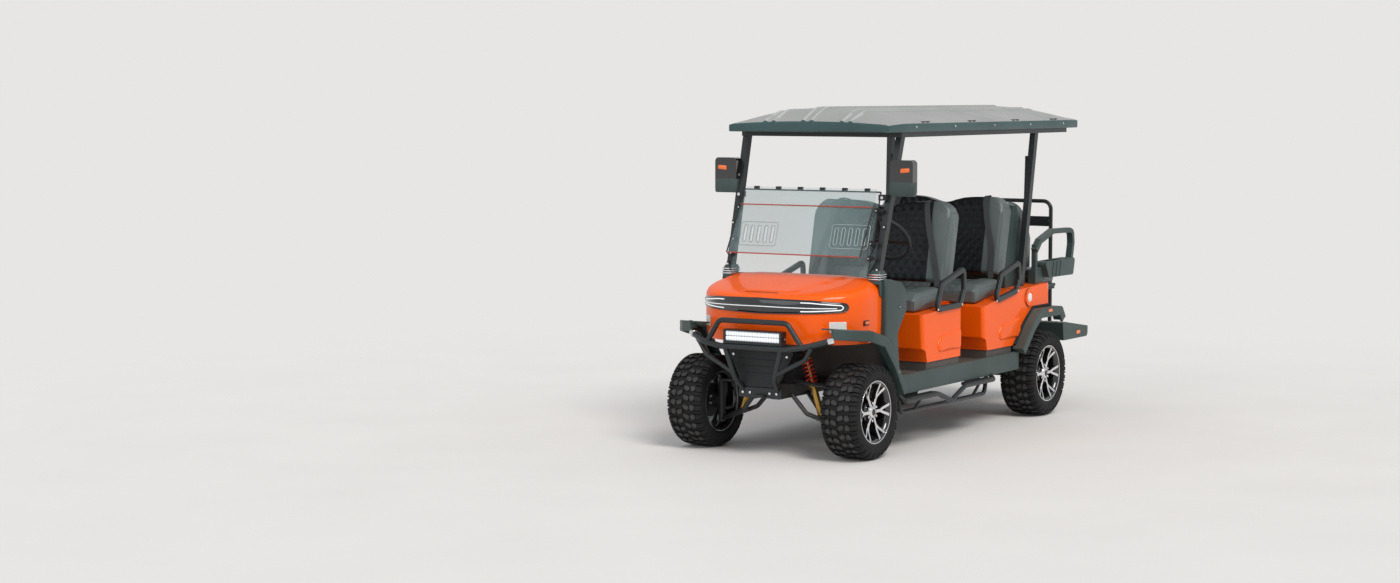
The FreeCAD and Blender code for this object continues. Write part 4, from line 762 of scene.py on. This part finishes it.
# Rubber seal between the rear flares and the body
seal = Builder()
seal.tube(bent([mm(603, 2075, 522), mm(603, 2224, 660), mm(603, 2368, 754), mm(603, 2636, 754)], 0.05),
          0.0125, 14)
seal.mirrored()
seal.make("flare_seals", [rubber], "trim_plastic", angle=60)

# Rounded covers over both dash cheeks
cheeks = Builder()
cheek_loop = bent_loop([(254, 1090, 0), (470, 1046, 0), (530, 990, 0), (531, 872, 0), (414, 735, 0),
                        (448, 474, 0), (362, 474, 0), (256, 626, 0)], 60, 7)
outward = []
for before, after in zip(cheek_loop[-1:] + cheek_loop[:-1], cheek_loop[1:] + cheek_loop[:1]):
    way = (after - before).normalized()
    outward.append(Vector((-way.y, way.x, 0)))
cheeks.loft([[mm(x, *(p + out * grow).xy) for p, out in zip(cheek_loop, outward)] for x, grow in
             ((552, -4), (556, 2), (582, 3), (587, 1), (590, -3), (592, -9), (593, -16))])
cheeks.mirrored()
cheeks.make("cheek_covers", [grey_plastic], "trim_plastic", angle=30)

# Rounded edges on pieces of the frame that stay as they are
for width, segments, names in (
        (0.005, 3, "front_fenders rear_fenders dash_panel rear_armrests mirrors footrest"),
        (0.0025, 2, "front_panel light_bar rocker_panels rear_seat_base cargo_deck roof_pillars roof_frame "
                    "front_back_frame rear_back_frame tail_lamps chassis_frame floor_pan front_seat_box "
                    "rear_body")):
    for node in names.split():
        soften(nodes[node], width, segments, 40)


# Seats: quilted centre, smooth bolsters and piped end panels
GRID = 7.5
ROUND_END = 30.0
DIAMOND_WIDE = 62
DIAMOND_LONG = 88


def quilt(x, length):
    """How far a diamond pattern is puffed up, from 0 in its seams to 1."""
    a = x / DIAMOND_WIDE + length / DIAMOND_LONG
    b = x / DIAMOND_WIDE - length / DIAMOND_LONG
    return 2 * sqrt(abs(a - round(a)) * abs(b - round(b)))


def bench_pad(name, node, body, corners, half, face, bolster, dip=0.0, corner=0.0, bend=42, tall=(0, 1, 0),
              puff=8.5, middle_finish=quilt_vinyl):
    """Pad from its side outline. face is the outward way of its quilted side; dip and corner lower the top
    at the middle and round it at the ends; tall is foot height, height and lean."""
    sparse = bent_loop([(y, z, 0) for y, z in corners], bend, 12)
    outline = []
    for a, b in zip(sparse, sparse[1:] + sparse[:1]):
        count = max(1, round((b - a).length / GRID))
        outline += [a.lerp(b, i / count) for i in range(count)]
    count = len(outline)
    area = sum(a.x * b.y - b.x * a.y for a, b in zip(outline, outline[1:] + outline[:1]))
    turn = 1 if area > 0 else -1
    normals = []
    for i in range(count):
        way = outline[(i + 1) % count] - outline[i - 1]
        normals.append(Vector((way.y, -way.x, 0)).normalized() * turn)
    lengths = [0.0]
    for a, b in zip(outline, outline[1:]):
        lengths.append(lengths[-1] + (b - a).length)
    face = Vector(face)
    seam = half - bolster
    foot, height, lean = tall

    def surface(x, sink, i):
        """Point of the pad at a station across and a point of the outline."""
        front = smooth_step((normals[i].dot(face) - 0.15) * 2.2)
        edge = abs(x) - seam
        lift = -sink
        if front > 0 and edge < 0:
            lift += front * puff * (quilt(x, lengths[i]) - 0.7) * smooth_step(-edge / 20)
        if edge > 0:
            lift += front * 9.0 * sin(pi * min(1.0, edge / bolster)) ** 0.6
        # Grooves beside the bolsters and in the middle
        lift -= (0.4 + front) * 4.5 * exp(-(edge / 5.0) ** 2) + front * 3.0 * exp(-(x / 7.0) ** 2)
        p = outline[i] + normals[i] * (lift - 4.0)
        drop = dip * exp(-(x / 120) ** 2)
        over = abs(x) - (half - corner)
        if corner and over > 0:
            drop += corner - sqrt(max(0.0, corner * corner - over * over))
        share = max(0.0, (p.y - foot) / height)
        return mm(x, p.x - lean * share * drop / height, p.y - drop * share)

    flat = half - ROUND_END
    steps = round(2 * flat / GRID)
    turns = [radians(a) for a in (18, 36, 54, 72, 86)]
    ends = [(flat + ROUND_END * sin(a), ROUND_END * (1 - cos(a))) for a in turns]
    stations = [(-x, sink) for x, sink in ends[::-1]]
    stations += [(-flat + 2 * flat * i / steps, 0.0) for i in range(steps + 1)] + ends
    rings = [[surface(x, sink, i) for i in range(count)] for x, sink in stations]
    pad = Builder()
    pad.loft(rings, caps=False)
    for sign, ring in ((-1, rings[0]), (1, rings[-1])):
        middle = sum(ring, Vector()) / count
        domed = [ring]
        for share in (0.97, 0.93, 0.88, 0.81, 0.72, 0.6, 0.45, 0.28, 0.1, 0.01):
            dome = Vector((sign * (11.0 * sqrt(1 - share ** 4) - 4.5) / 1000, 0, 0))
            domed.append([middle + (p - middle) * share + dome for p in ring])
        pad.loft(domed, 1, caps=False)
    obj = pad.make(name, [middle_finish, vinyl], "seat_black", body, angle=80)
    # Bolsters, end panels and faces that turn away from the quilted side take the smooth vinyl, partly
    # painted sunlight
    for poly in obj.data.polygons:
        if abs(poly.center.x) * 1000 > seam or poly.normal.y * face.x + poly.normal.z * face.y < 0.25:
            poly.material_index = 1
    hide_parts(node)
    # Piping round both end panels
    piping = Builder()
    for ring in (rings[3], rings[-4]):
        middle = sum(ring, Vector()) / count
        piping.ring_tube([p + (p - middle).normalized() * 0.0008 for p in ring[::2]], 0.0034, 8)
    piping.make(name + "_piping", [vinyl], "seat_black", body, angle=80)


# The front and middle cushions take the paler quilted copy: painted sunlight on their tops
bench_pad("front_bench_cushion", "front_seat_cushion", "front_seat_lid",
          [(790, 829.9), (1190, 851.5), (1190, 948), (1130, 968), (850, 952), (790, 905)], 515,
          (0, 1, 0), 150, bend=40, puff=9.0, middle_finish=quilt_painted_sunlit)
bench_pad("mid_bench_cushion", "mid_seat_cushion", "mid_seat_lid",
          [(1660, 822.1), (2055, 879.2), (2055, 948), (1995, 968), (1720, 952), (1660, 905)], 515,
          (0, 1, 0), 150, bend=36, puff=9.0, middle_finish=quilt_painted_sunlit)
for name, node, row_y, half, bolster in (("front_bench_back", "front_seat_back", 0, 515, 145),
                                         ("mid_bench_back", "mid_seat_back", 870, 480, 135)):
    side_outline = [(1195, 990), (1330, 990), (1440, 1475), (1425, 1516), (1320, 1518), (1295, 1460)]
    bench_pad(name, node, "vehicle", [(y + row_y, z) for y, z in side_outline], half, (-1, 0.2, 0), bolster,
              dip=42, corner=120, bend=30, tall=(990, 530, 110))
bench_pad("rear_bench_back", "rear_seat_back", "vehicle",
          [(2470, 1010), (2602, 1010), (2600, 1250), (2508, 1440), (2465, 1469), (2398, 1466),
           (2384, 1440)], 480, (1, 0.3, 0), 135, dip=30, corner=110, bend=26, tall=(1010, 460, -89))
bench_pad("rear_bench_cushion", "rear_seat_cushion", "flip_seat",
          [(2635, 880.8), (2975, 880.8), (2975, 995), (2635, 995)], 490, (0, 1, 0), 140, bend=38, puff=9.0)

# Seat belts: webbing over the backs and cushions with buckles
belts = Builder()
for row_y, half in ((0, 515), (870, 480)):
    for side in SIDES:
        path = [(300, 1430, 1500), (318, 1375, 1522), (335, 1300, 1490), (372, 1254, 1330),
                (420, 1222, 1180), (half - 52, 1188, 1020), (half - 40, 1172, 972)]
        belts.strip(curve_through([mm(side * x, y + row_y, z) for x, y, z in path], 6),
                    (1, 0, 0.12 * side), 0.040, 0.0016)
        x = side * 60
        belts.rod(mm(x, 1170 + row_y, 972), mm(x, 1150 + row_y, 1010), 0.012, 12)
        belts.box(mm(x - 16, 1140 + row_y, 1005), mm(x + 16, 1156 + row_y, 1055), 1)
        belts.box(mm(x - 8, 1142 + row_y, 1052), mm(x + 8, 1153 + row_y, 1057), 2)
belts.make("seat_belts", [webbing, dark_plastic, red_lens], "seat_black", bevel=0.0006)

# Roof: crowned shell with pairs of ribs, sloping ends and a dark fascia.
# Rows from front to rear: place, half width, height at the edge and at the crown
ROOF_ROWS = [(306, 574, 2028, 2048), (340, 578, 2031, 2067), (400, 583, 2035, 2096),
             (455, 587, 2038, 2119), (500, 590, 2040, 2129), (560, 590, 2040, 2131),
             (2900, 590, 2040, 2131), (2960, 590, 2040, 2127), (3010, 588, 2040, 2111),
             (3070, 584, 2039, 2086), (3130, 580, 2037, 2060)]
ROOF_LOW = 1980
ROOF_MIDDLE = 1718
RIBS = (30, 247, 307)
roof = Builder()
lengthwise = [306 + i * 9.7 for i in range(27)] + [568 + i * 46.4 for i in range(50)]
lengthwise += [2888 + i * 11 for i in range(22)] + [3130]
across = [i / 60 for i in range(-60, 61)]
grid = []
for y in lengthwise:
    half, edge, crown = along(ROOF_ROWS, y)[1:]
    ring = []
    for u in across:
        x = u * half
        rib = sum(smooth_step((15 - abs(abs(x) - place)) / 7) for place in RIBS)
        z = edge + (crown - edge) * (1 - u * u) + 9.0 * rib * smooth_step((2960 - y) / 50)
        ring.append(mm(x, y, z - 5.0 * smooth_step((abs(u) - 0.955) / 0.045)))
    grid.append(ring)
roof.loft(grid, caps=False, closed=False)
border = grid[0] + [ring[-1] for ring in grid[1:]] + grid[-1][-2::-1] + [ring[0] for ring in grid[-2:0:-1]]
rings = []
for grow, share in ((0.0, 0.0), (0.0022, 0.05), (0.003, 0.16), (0.003, 0.80), (0.0015, 0.94),
                    (-0.004, 1.0)):
    ring = []
    for p in border:
        out = Vector((copysign(1, p.x), 0, 0))
        if abs(p.x) <= 0.55:
            out = Vector((0, copysign(1, p.y - mm(0, ROOF_MIDDLE, 0).y), 0))
        ring.append(Vector((p.x, p.y, p.z + (ROOF_LOW / 1000 - p.z) * share)) + out * grow)
    rings.append(ring)
roof.loft(rings, 1, caps=False)
canopy = roof.make("roof_shell", [roof_top_painted_sunlight, roof_fascia, roof_rib_painted_highlight], "roof_black", angle=50,
                   stands_for=["roof_panel"])
# Faces along the ribs take the paler rib material: a painted highlight on the ribs
for poly in canopy.data.polygons:
    if poly.material_index == 0 and min(abs(abs(poly.center.x) * 1000 - place) for place in RIBS) < 11:
        poly.material_index = 2
weld = canopy.modifiers.new("weld", "WELD")
weld.merge_threshold = 0.0002
wall = canopy.modifiers.new("wall", "SOLIDIFY")
wall.thickness = 0.018
wall.offset = -1.0
wall.use_even_offset = False

fittings = Builder()
for y in (640, 1180, 1760, 2320, 2860):
    fittings.rod(mm(592, y, 2012), mm(597, y, 2012), 0.0075, 12, 1)
    fittings.rod(mm(597, y, 2012), mm(599, y, 2012), 0.0045, 6, 1)
for y in (760, 820, 1420, 1480, 2080, 2140, 2700, 2760):
    fittings.box(mm(566, y - 16, 2042), mm(586, y + 16, 2047))
fittings.box(mm(548, 500, 1990), mm(560, 2930, 2004))
fittings.mirrored()
for y in (1200, 2200):
    fittings.box(mm(-150, y, 1984), mm(150, y + 60, 1992))
fittings.make("roof_fittings", [dark_plastic, bright_metal], "roof_black", bevel=0.0012)


# Screen: vent plates with slots, edge lines, latches and clamps
def lower_pane(x, z, proud=0.0):
    """Point on the front of the lower pane, or a little outside it."""
    return mm(x, 186 + 174 * (z - 1090) / 525 - 0.95 * proud, z + 0.31 * proud)


def upper_pane(x, z, proud=0.0):
    """The same for the pane that folds."""
    return mm(x, 120 + 176 * (z - 1220) / 302 - 0.86 * proud, z + 0.5 * proud)


screen = Builder()
for side in SIDES:
    plate_x = side * 330
    outlines = [(rounded_box((plate_x - 134, 1262), (plate_x + 134, 1408), 18, 20), 0.0022)]
    for i in range(5):
        x = side * (230 + i * 50)
        outlines.append((rounded_box((x - 11, 1283), (x + 11, 1387), 9, 20), 0.0028))
    for outline, radius in outlines:
        screen.ring_tube([lower_pane(p.x, p.y, 3) for p in outline], radius, 6)
    # Edge trims of both panes
    screen.strip([lower_pane(side * 496, z) for z in (1095, 1612)], (0, 0.3, 0.95), 0.001, 0.001, 1)
    screen.tube([lower_pane(side * 497, z, 2) for z in (1100, 1300, 1612)], 0.0045, 8, 1)
    screen.tube([upper_pane(side * 479, z, 2) for z in (1222, 1370, 1520)], 0.0045, 8, 1)
screen.tube([upper_pane(x, 1221, 2) for x in (-479, 0, 479)], 0.0038, 8, 2)
screen.tube([upper_pane(x, 1519, 2) for x in (-479, 0, 479)], 0.0038, 8, 2)
screen.tube([lower_pane(x, 1612, 2) for x in (-497, 0, 497)], 0.0045, 8, 1)
screen.make("screen_trim", [slot_trim, dark_plastic, red_line], "windscreen", angle=60)

fold = Builder()
fold_line = [mm(0, y, z) for y, z in ((299, 1519), (322, 1551), (340, 1587), (352, 1617), (360, 1630))]
fold.strip(curve_through(fold_line, 4), (1, 0, 0), 0.94, 0.005)
for x in (-400, -240, -80, 80, 240, 400):
    fold.box(mm(x - 16, 350, 1617), mm(x + 16, 372, 1634), 1)
for side in SIDES:
    fold.box(mm(side * 492, 332, 1562), mm(side * 543, 378, 1598), 1)
    fold.rod(mm(side * 518, 334, 1580), mm(side * 518, 326, 1580), 0.010, 20, 2)
fold.make("screen_fold_strip", [windscreen, dark_plastic, bright_metal], "windscreen", bevel=0.0012,
          angle=50, stands_for=["windshield_clips"])

latches = Builder()
for z, y in ((1300, 252), (1500, 318), (1210, 222)):
    latches.box(mm(482, y - 14, z - 16), mm(512, y + 6, z + 16))
    latches.rod(mm(497, y - 14, z), mm(497, y - 24, z), 0.011)
    latches.rod(mm(497, y - 24, z), mm(497, y - 29, z), 0.0055, 6, 1)
    latches.box(mm(508, y - 8, z - 8), mm(534, y + 14, z + 8))
for z in (1140, 1400, 1700):
    share = (z - 1088) / 862
    x = 537 + 25 * share
    y = 217 + 250 * share
    latches.box(mm(x - 11, y, z - 14), mm(x + 11, y + 11, z + 14))
    latches.rod(mm(x, y, z), mm(x, y - 5, z), 0.007, 12, 1)
latches.mirrored()
latches.make("screen_latches", [dark_plastic, bright_metal], "trim_plastic", bevel=0.0018)

clamps = Builder()
clamps.loft([[mm(p.x, p.y + (z - 1088) * 0.25, z)
              for p in rounded_box((498, 216), (562, 292), 14, 15, grow)]
             for z, grow in ((1052, 2), (1070, 6), (1122, 4), (1134, -3))])
for z in (1082, 1096, 1110):
    clamps.ring_tube([mm(p.x, p.y + (z - 1088) * 0.25, z)
                      for p in rounded_box((489, 207), (571, 301), 16, 15)],
                     0.0042, 8, 1)
tongue = []
for x, grow in ((560, 0), (568, 0), (571, -4)):
    loop = bent_loop([(212 - grow, 1066, 0), (286 + grow, 1066, 0), (262 + grow, 975 - grow, 0),
                      (222 - grow, 975 - grow, 0)], 16, 15)
    tongue.append([mm(x, p.x, p.y) for p in loop])
clamps.loft(tongue)
clamps.mirrored()
clamps.make("pillar_clamps", [grey_plastic, bright_metal], "trim_plastic", bevel=0.0015)

# Mirrors: glass towards the driver, an amber lamp forward and a lower shell
mirror_trim = Builder()
mirror_trim.loft([[mm(p.x, y, p.y) for p in rounded_box((556, 1592), (715, 1812), 20, 15, -shrink)]
                  for y, shrink in ((420, 14), (423, 14), (424.5, 18))])
rings = []
for y, shrink in ((361, 0), (357, 1), (355, 5)):
    loop = bent_loop([(628 + shrink, 1732 + shrink, 0), (694 - shrink, 1738 + shrink, 0),
                      (690 - shrink, 1764 - shrink, 0), (630 + shrink, 1760 - shrink, 0)], 9, 20)
    rings.append([mm(p.x, y, p.y) for p in loop])
mirror_trim.loft(rings, 1)
rings = []
for z, grow in ((1590, -8), (1588, 2), (1600, 5), (1668, 5), (1676, 1), (1678, -8)):
    loop = bent_loop([(556 - grow, 361 - grow, 0), (715 + grow, 361 - grow, 0), (715 + grow, 418, 0),
                      (556 - grow, 418, 0)], 18, 15)
    rings.append([mm(p.x, p.y, z) for p in loop])
mirror_trim.loft(rings, 2, caps=False)
mirror_trim.mirrored()
mirror_trim.make("mirror_faces", [mirror_glass, amber, grey_plastic], "gloss_black", angle=40)


# Hip loops: flat moulded bands
def flat_band(builder, corners, bend, x, wide, thick):
    """Closed band in an upright plane across X, with a rounded flat section."""
    line = bent_loop([mm(x, y, z) for y, z in corners], bend / 1000, 8)
    count = len(line)
    middle = sum(line, Vector()) / count
    section = rounded_box((-wide / 2, -thick / 2), (wide / 2, thick / 2), 8, 20)
    rings = []
    for i in range(count):
        way = (line[(i + 1) % count] - line[i - 1]).normalized()
        out = way.cross(Vector((1, 0, 0))).normalized()
        if out.dot(line[i] - middle) < 0:
            out = -out
        rings.append([line[i] + out * (p.x / 1000) + Vector((p.y / 1000, 0, 0)) for p in section])
    builder.loft(rings + [rings[0]], caps=False)


for name, node, corners in (
        ("front_hip_bands", "front_hip_restraints",
         [(1252, 856), (1305, 949), (1298, 1086), (986, 1004), (913, 846)]),
        ("mid_hip_bands", "mid_hip_restraints",
         [(2099, 888), (2143, 962), (2137, 1080), (1864, 1014), (1773, 840)])):
    loops = Builder()
    flat_band(loops, corners, 30, 602, 38, 27)
    for y, z in (corners[0], corners[-1]):
        loops.rod(mm(614, y, z + 2), mm(619, y, z + 2), 0.008, 16, 1)
    loops.mirrored()
    loops.make(name, [tube_black, bright_metal], "black_tube", angle=40, stands_for=[node])

# Side steps
steps = Builder()
foot = 357
inner = 600
outer = 652
steps.tube(bent([mm(inner, 400, foot), mm(inner, 430, 237), mm(inner, 1625, 237), mm(inner, 1655, foot)],
                0.045),
           0.0145, 16)
steps.tube(bent([mm(inner + 12, 372, foot), mm(outer, 395, 318), mm(outer, 850, 318), mm(outer, 1040, 255),
                 mm(outer, 1235, 331), mm(outer, 1660, 331), mm(inner + 12, 1690, foot)], 0.028), 0.0155,
                 16)
steps.rod(mm(inner, 620, 239), mm(outer, 620, 318), 0.010, 12)
steps.rod(mm(inner, 1450, 239), mm(outer, 1450, 329), 0.010, 12)
for low_y, high_y, z in ((440, 830, 322), (1250, 1620, 335)):
    loop = rounded_box((outer - 42, low_y), (outer + 14, high_y), 14, 15)
    steps.loft([[mm(p.x, p.y, z - 3) for p in loop], [mm(p.x, p.y, z + 14) for p in loop]], 1)
    for i in range(int((high_y - low_y) / 24) - 1):
        y = low_y + 20 + i * 24
        steps.box(mm(outer - 34, y, z + 13), mm(outer + 8, y + 9, z + 17.5), 1)
steps.mirrored()
steps.make("side_step_rails", [tube_black, dark_plastic], "black_tube", bevel=0.0012, angle=50,
           stands_for=["side_steps"])

# Grab bar and rear details
rear = Builder()
rear.tube(bent([mm(270, 3385, 545), mm(270, 3385, 1440), mm(-270, 3385, 1440), mm(-270, 3385, 545)], 0.06),
          0.0145, 20)
rear.box(mm(-258, 3381, 1257), mm(258, 3389, 1329))
for x in (-270, 270):
    rear.rod(mm(x, 3385, 545), mm(x, 3385, 566), 0.021, 24)
    for bolt_x in (x - 14, x + 14):
        rear.rod(mm(bolt_x, 3381, 1293), mm(bolt_x, 3377, 1293), 0.006, 6, 1)
rear.make("rear_grab_bar", [tube_black, bright_metal], "black_tube", bevel=0.001, angle=50,
          stands_for=["grab_bar"])

rear_markers = Builder()
for side in SIDES:
    rear_markers.box(mm(side * 551 - 3, 3230, 500), mm(side * 551 + 3, 3290, 524))
    rear_markers.box(mm(side * 676 - 3, 2470, 719), mm(side * 676 + 3, 2530, 739))
    rear_markers.box(mm(side * 250 - 60, 3428, 502), mm(side * 250 + 60, 3432, 526), 1)
for side in SIDES:
    for low_z, high_z, mark in ((838, 896, 1), (812, 834, 0), (784, 808, 2)):
        rear_markers.box(mm(side * 556, 2640, low_z), mm(side * 588, 2647, high_z), mark)
rear_markers.make("side_and_rear_markers", [amber, red_lens, white_plate], "trim_plastic", bevel=0.0015)

# Raised lozenges on the footrest
grip = Builder()
lozenge = [Vector(p) for p in ((-14, 0), (-6, -4.5), (6, -4.5), (14, 0), (6, 4.5), (-6, 4.5))]
for i in range(25):
    for j in range(8):
        turn = Matrix.Rotation(radians(45 if (i + j) % 2 else -45), 2)
        rings = []
        for lift, size in ((-1, 1.0), (1.4, 1.0), (2.4, 0.6)):
            ring = [Vector((-480 + i * 40, 3035 + j * 40)) + turn @ p * size for p in lozenge]
            rings.append([mm(p.x, p.y, 604 - (p.y - 3012) * 0.142 + lift) for p in ring])
        grip.loft(rings)
grip.make("footrest_grip", [grey_plastic], "trim_plastic", angle=30)

# Charge port: ring, pale cap and latch on the door
charge = Builder()
centre = mm(607.2, 2311, 829)
charge.revolve([(0, 63), (2.2, 62), (3.4, 58), (3.0, 44), (0, 43)], centre, 48)
charge.revolve([(0, 44), (1.2, 43), (1.2, 32), (0, 31)], centre, 48)
charge.revolve([(0, 31), (3.2, 30), (4.4, 26), (5.0, 0.1)], centre, 48, 1)
charge.box(mm(608, 2356, 824), mm(613, 2368, 834))
charge.make("charge_cap", [orange_paint, white_plate], "trim_plastic", "charge_door", bevel=0.0006)

# Steering wheel: rim, spokes and hub in the wheel's own plane
tilt = radians(38)
axis = Vector((0, cos(tilt), sin(tilt)))
hub = mm(300, 780, 1300)
across_way = Vector((1, 0, 0))
up_way = axis.cross(across_way)
wheel = Builder()
rings = []
for i in range(72):
    angle = 2 * pi * i / 72
    out = across_way * cos(angle) + up_way * sin(angle)
    rings.append(ring_points(hub + out * 0.168, out, axis, 0.013 + 0.0012 * cos(angle * 18), 14))
wheel.loft(rings + [rings[0]], caps=False)
for angle in (10, 170, 270):
    way = across_way * cos(radians(angle)) + up_way * sin(radians(angle))
    wheel.strip([hub - axis * 0.02 + way * 0.02, hub - axis * 0.016 + way * 0.09,
                 hub - axis * 0.002 + way * 0.164],
                way.cross(axis), 0.026, 0.007, 1)
wheel.rod(hub - axis * 0.04, hub - axis * 0.012, 0.033, 32, 1)
wheel.rod(hub - axis * 0.012, hub + axis * 0.003, 0.036, 32, 0, 0.030)
wheel.rod(hub + axis * 0.003, hub + axis * 0.005, 0.022, 32, 1)
wheel.make("steering_rim", [dark_plastic, steel_black], "wheel_grip", "steering_wheel", bevel=0.0012,
           angle=50, stands_for=["steering_wheel"])

# Raised panels on the seat boxes' sides, swept up towards the rear
panels = Builder()
for row_y in (0, 905):
    corners = ((952, 574), (934, 618), (978, 670), (1120, 690), (1268, 702), (1268, 574))
    outline = bent_loop([mm(600, y + row_y, z) for y, z in corners], 0.022)
    middle = sum(outline, Vector()) / len(outline)
    inward = [-Vector((0, p.y - middle.y, p.z - middle.z)).normalized() for p in outline]
    panels.loft([[p + way * shrink * 1.4 + Vector((lift, 0, 0)) for p, way in zip(outline, inward)]
                 for lift, shrink in ((-0.002, -0.002), (0.003, 0.0), (0.0085, 0.007), (0.0100, 0.013),
                                      (0.0100, 0.020))])
panels.mirrored()
panels.make("side_panel_reliefs", [orange_paint], "orange_paint", angle=60)

# Dash switches, gauge and cheek bolts
dash = Builder()
for i in range(4):
    dash.box(mm(-40 + i * 26, 462, 1000), mm(-20 + i * 26, 474, 1022), 1)
dash.rod(mm(150, 425, 1046), mm(150, 432, 1056), 0.032, 32, 1)
for side in SIDES:
    dash.rod(mm(side * 588, 430, 900), mm(side * 595, 430, 900), 0.009, 16, 1)
    dash.rod(mm(side * 595, 430, 900), mm(side * 597, 430, 900), 0.005, 6)
dash.make("dash_details", [bright_metal, dark_plastic], "trim_plastic", bevel=0.001)

# Straps beside the rear pillars
straps = Builder()
for side in SIDES:
    straps.strip([mm(side * 520, 2445, 1764), mm(side * 516, 2436, 1400), mm(side * 505, 2420, 1010)],
                 (1, 0, 0), 0.044, 0.0016)
    straps.box(mm(side * 520 - 20, 2440, 1752), mm(side * 520 + 20, 2462, 1792), 1)
straps.make("pillar_straps", [webbing, dark_plastic], "seat_black", bevel=0.0006)


# Floor, light and camera: far from the object the floor is as pale as the backdrop for rays that show it
def any_ray(tree, *kinds):
    """1 for the given kinds of rays."""
    path = add_node(tree, "ShaderNodeLightPath")
    value = path.outputs[kinds[0]]
    for kind in kinds[1:]:
        value = add_node(tree, "ShaderNodeMath", [(0, value), (1, path.outputs[kind])],
                         operation="MAXIMUM").outputs["Value"]
    return value


WHITE_GROUND = (0.80, 0.79, 0.775, 1)
floor_finish = finish_material("studio_floor", (0.74, 0.72, 0.70), 0.85, tint=0.02, tint_scale=1.0,
                               grain=60.0, bump=0.02, rough_vary=0.05)
tree = floor_finish.node_tree
place = add_node(tree, "ShaderNodeTexCoord").outputs["Object"]
distance = add_node(tree, "ShaderNodeVectorMath", [(0, place)], operation="LENGTH")
away = add_node(tree, "ShaderNodeMapRange", [("Value", distance.outputs["Value"])],
                interpolation_type="SMOOTHSTEP")
away.inputs["From Min"].default_value = 3.2
away.inputs["From Max"].default_value = 9.0
seen = any_ray(tree, "Is Camera Ray", "Is Glossy Ray", "Is Transmission Ray")
share = add_node(tree, "ShaderNodeMath", [(0, seen), (1, away.outputs["Result"])], operation="MULTIPLY")
far_floor = add_node(tree, "ShaderNodeEmission", Color=WHITE_GROUND)
near_floor = tree.nodes["Principled BSDF"]
fade = add_node(tree, "ShaderNodeMixShader", [("Fac", share.outputs["Value"]), (1, near_floor.outputs[0]),
                                              (2, far_floor.outputs[0])])
tree.links.new(fade.outputs[0], tree.nodes["Material Output"].inputs["Surface"])
bpy.ops.mesh.primitive_plane_add(size=120, location=(0, 0, 0))
floor = bpy.context.object
floor.name = "studio_floor"
floor.data.materials.append(floor_finish)

world = bpy.data.worlds.new("studio")
scene.world = world
world.use_nodes = True
tree = world.node_tree
ambient = tree.nodes["Background"]
ambient.inputs["Color"].default_value = (0.94, 0.97, 1.0, 1)
ambient.inputs["Strength"].default_value = 0.62
backdrop = add_node(tree, "ShaderNodeBackground", Color=WHITE_GROUND)
blend = add_node(tree, "ShaderNodeMixShader",
                 [("Fac", any_ray(tree, "Is Camera Ray", "Is Transmission Ray")), (1, ambient.outputs[0]),
                  (2, backdrop.outputs[0])])
tree.links.new(blend.outputs[0], tree.nodes["World Output"].inputs["Surface"])


def soft_sun(name, way, strength, spread, color):
    """Distant light; way is the direction it comes from."""
    data = bpy.data.lights.new(name, "SUN")
    data.energy = strength
    data.angle = radians(spread)
    data.color = color
    light = bpy.data.objects.new(name, data)
    scene.collection.objects.link(light)
    light.rotation_mode = "QUATERNION"
    light.rotation_quaternion = (-Vector(way)).to_track_quat("-Z", "Y")


soft_sun("key_light", (0.75, -0.42, 1.0), 1.9, 26, (1.0, 0.97, 0.93))
soft_sun("fill_light", (-0.2, -1.0, 0.45), 0.35, 40, (0.95, 0.98, 1.0))

camera_data = bpy.data.cameras.new("camera")
camera_data.sensor_width = 36.0
camera_data.lens = 63.84
camera = bpy.data.objects.new("camera", camera_data)
scene.collection.objects.link(camera)
camera.location = (7.775, -14.738, 2.230)
camera.rotation_euler = (radians(90 - 4.592), 0, radians(32.385))
scene.camera = camera
scene.view_settings.view_transform = "Standard"
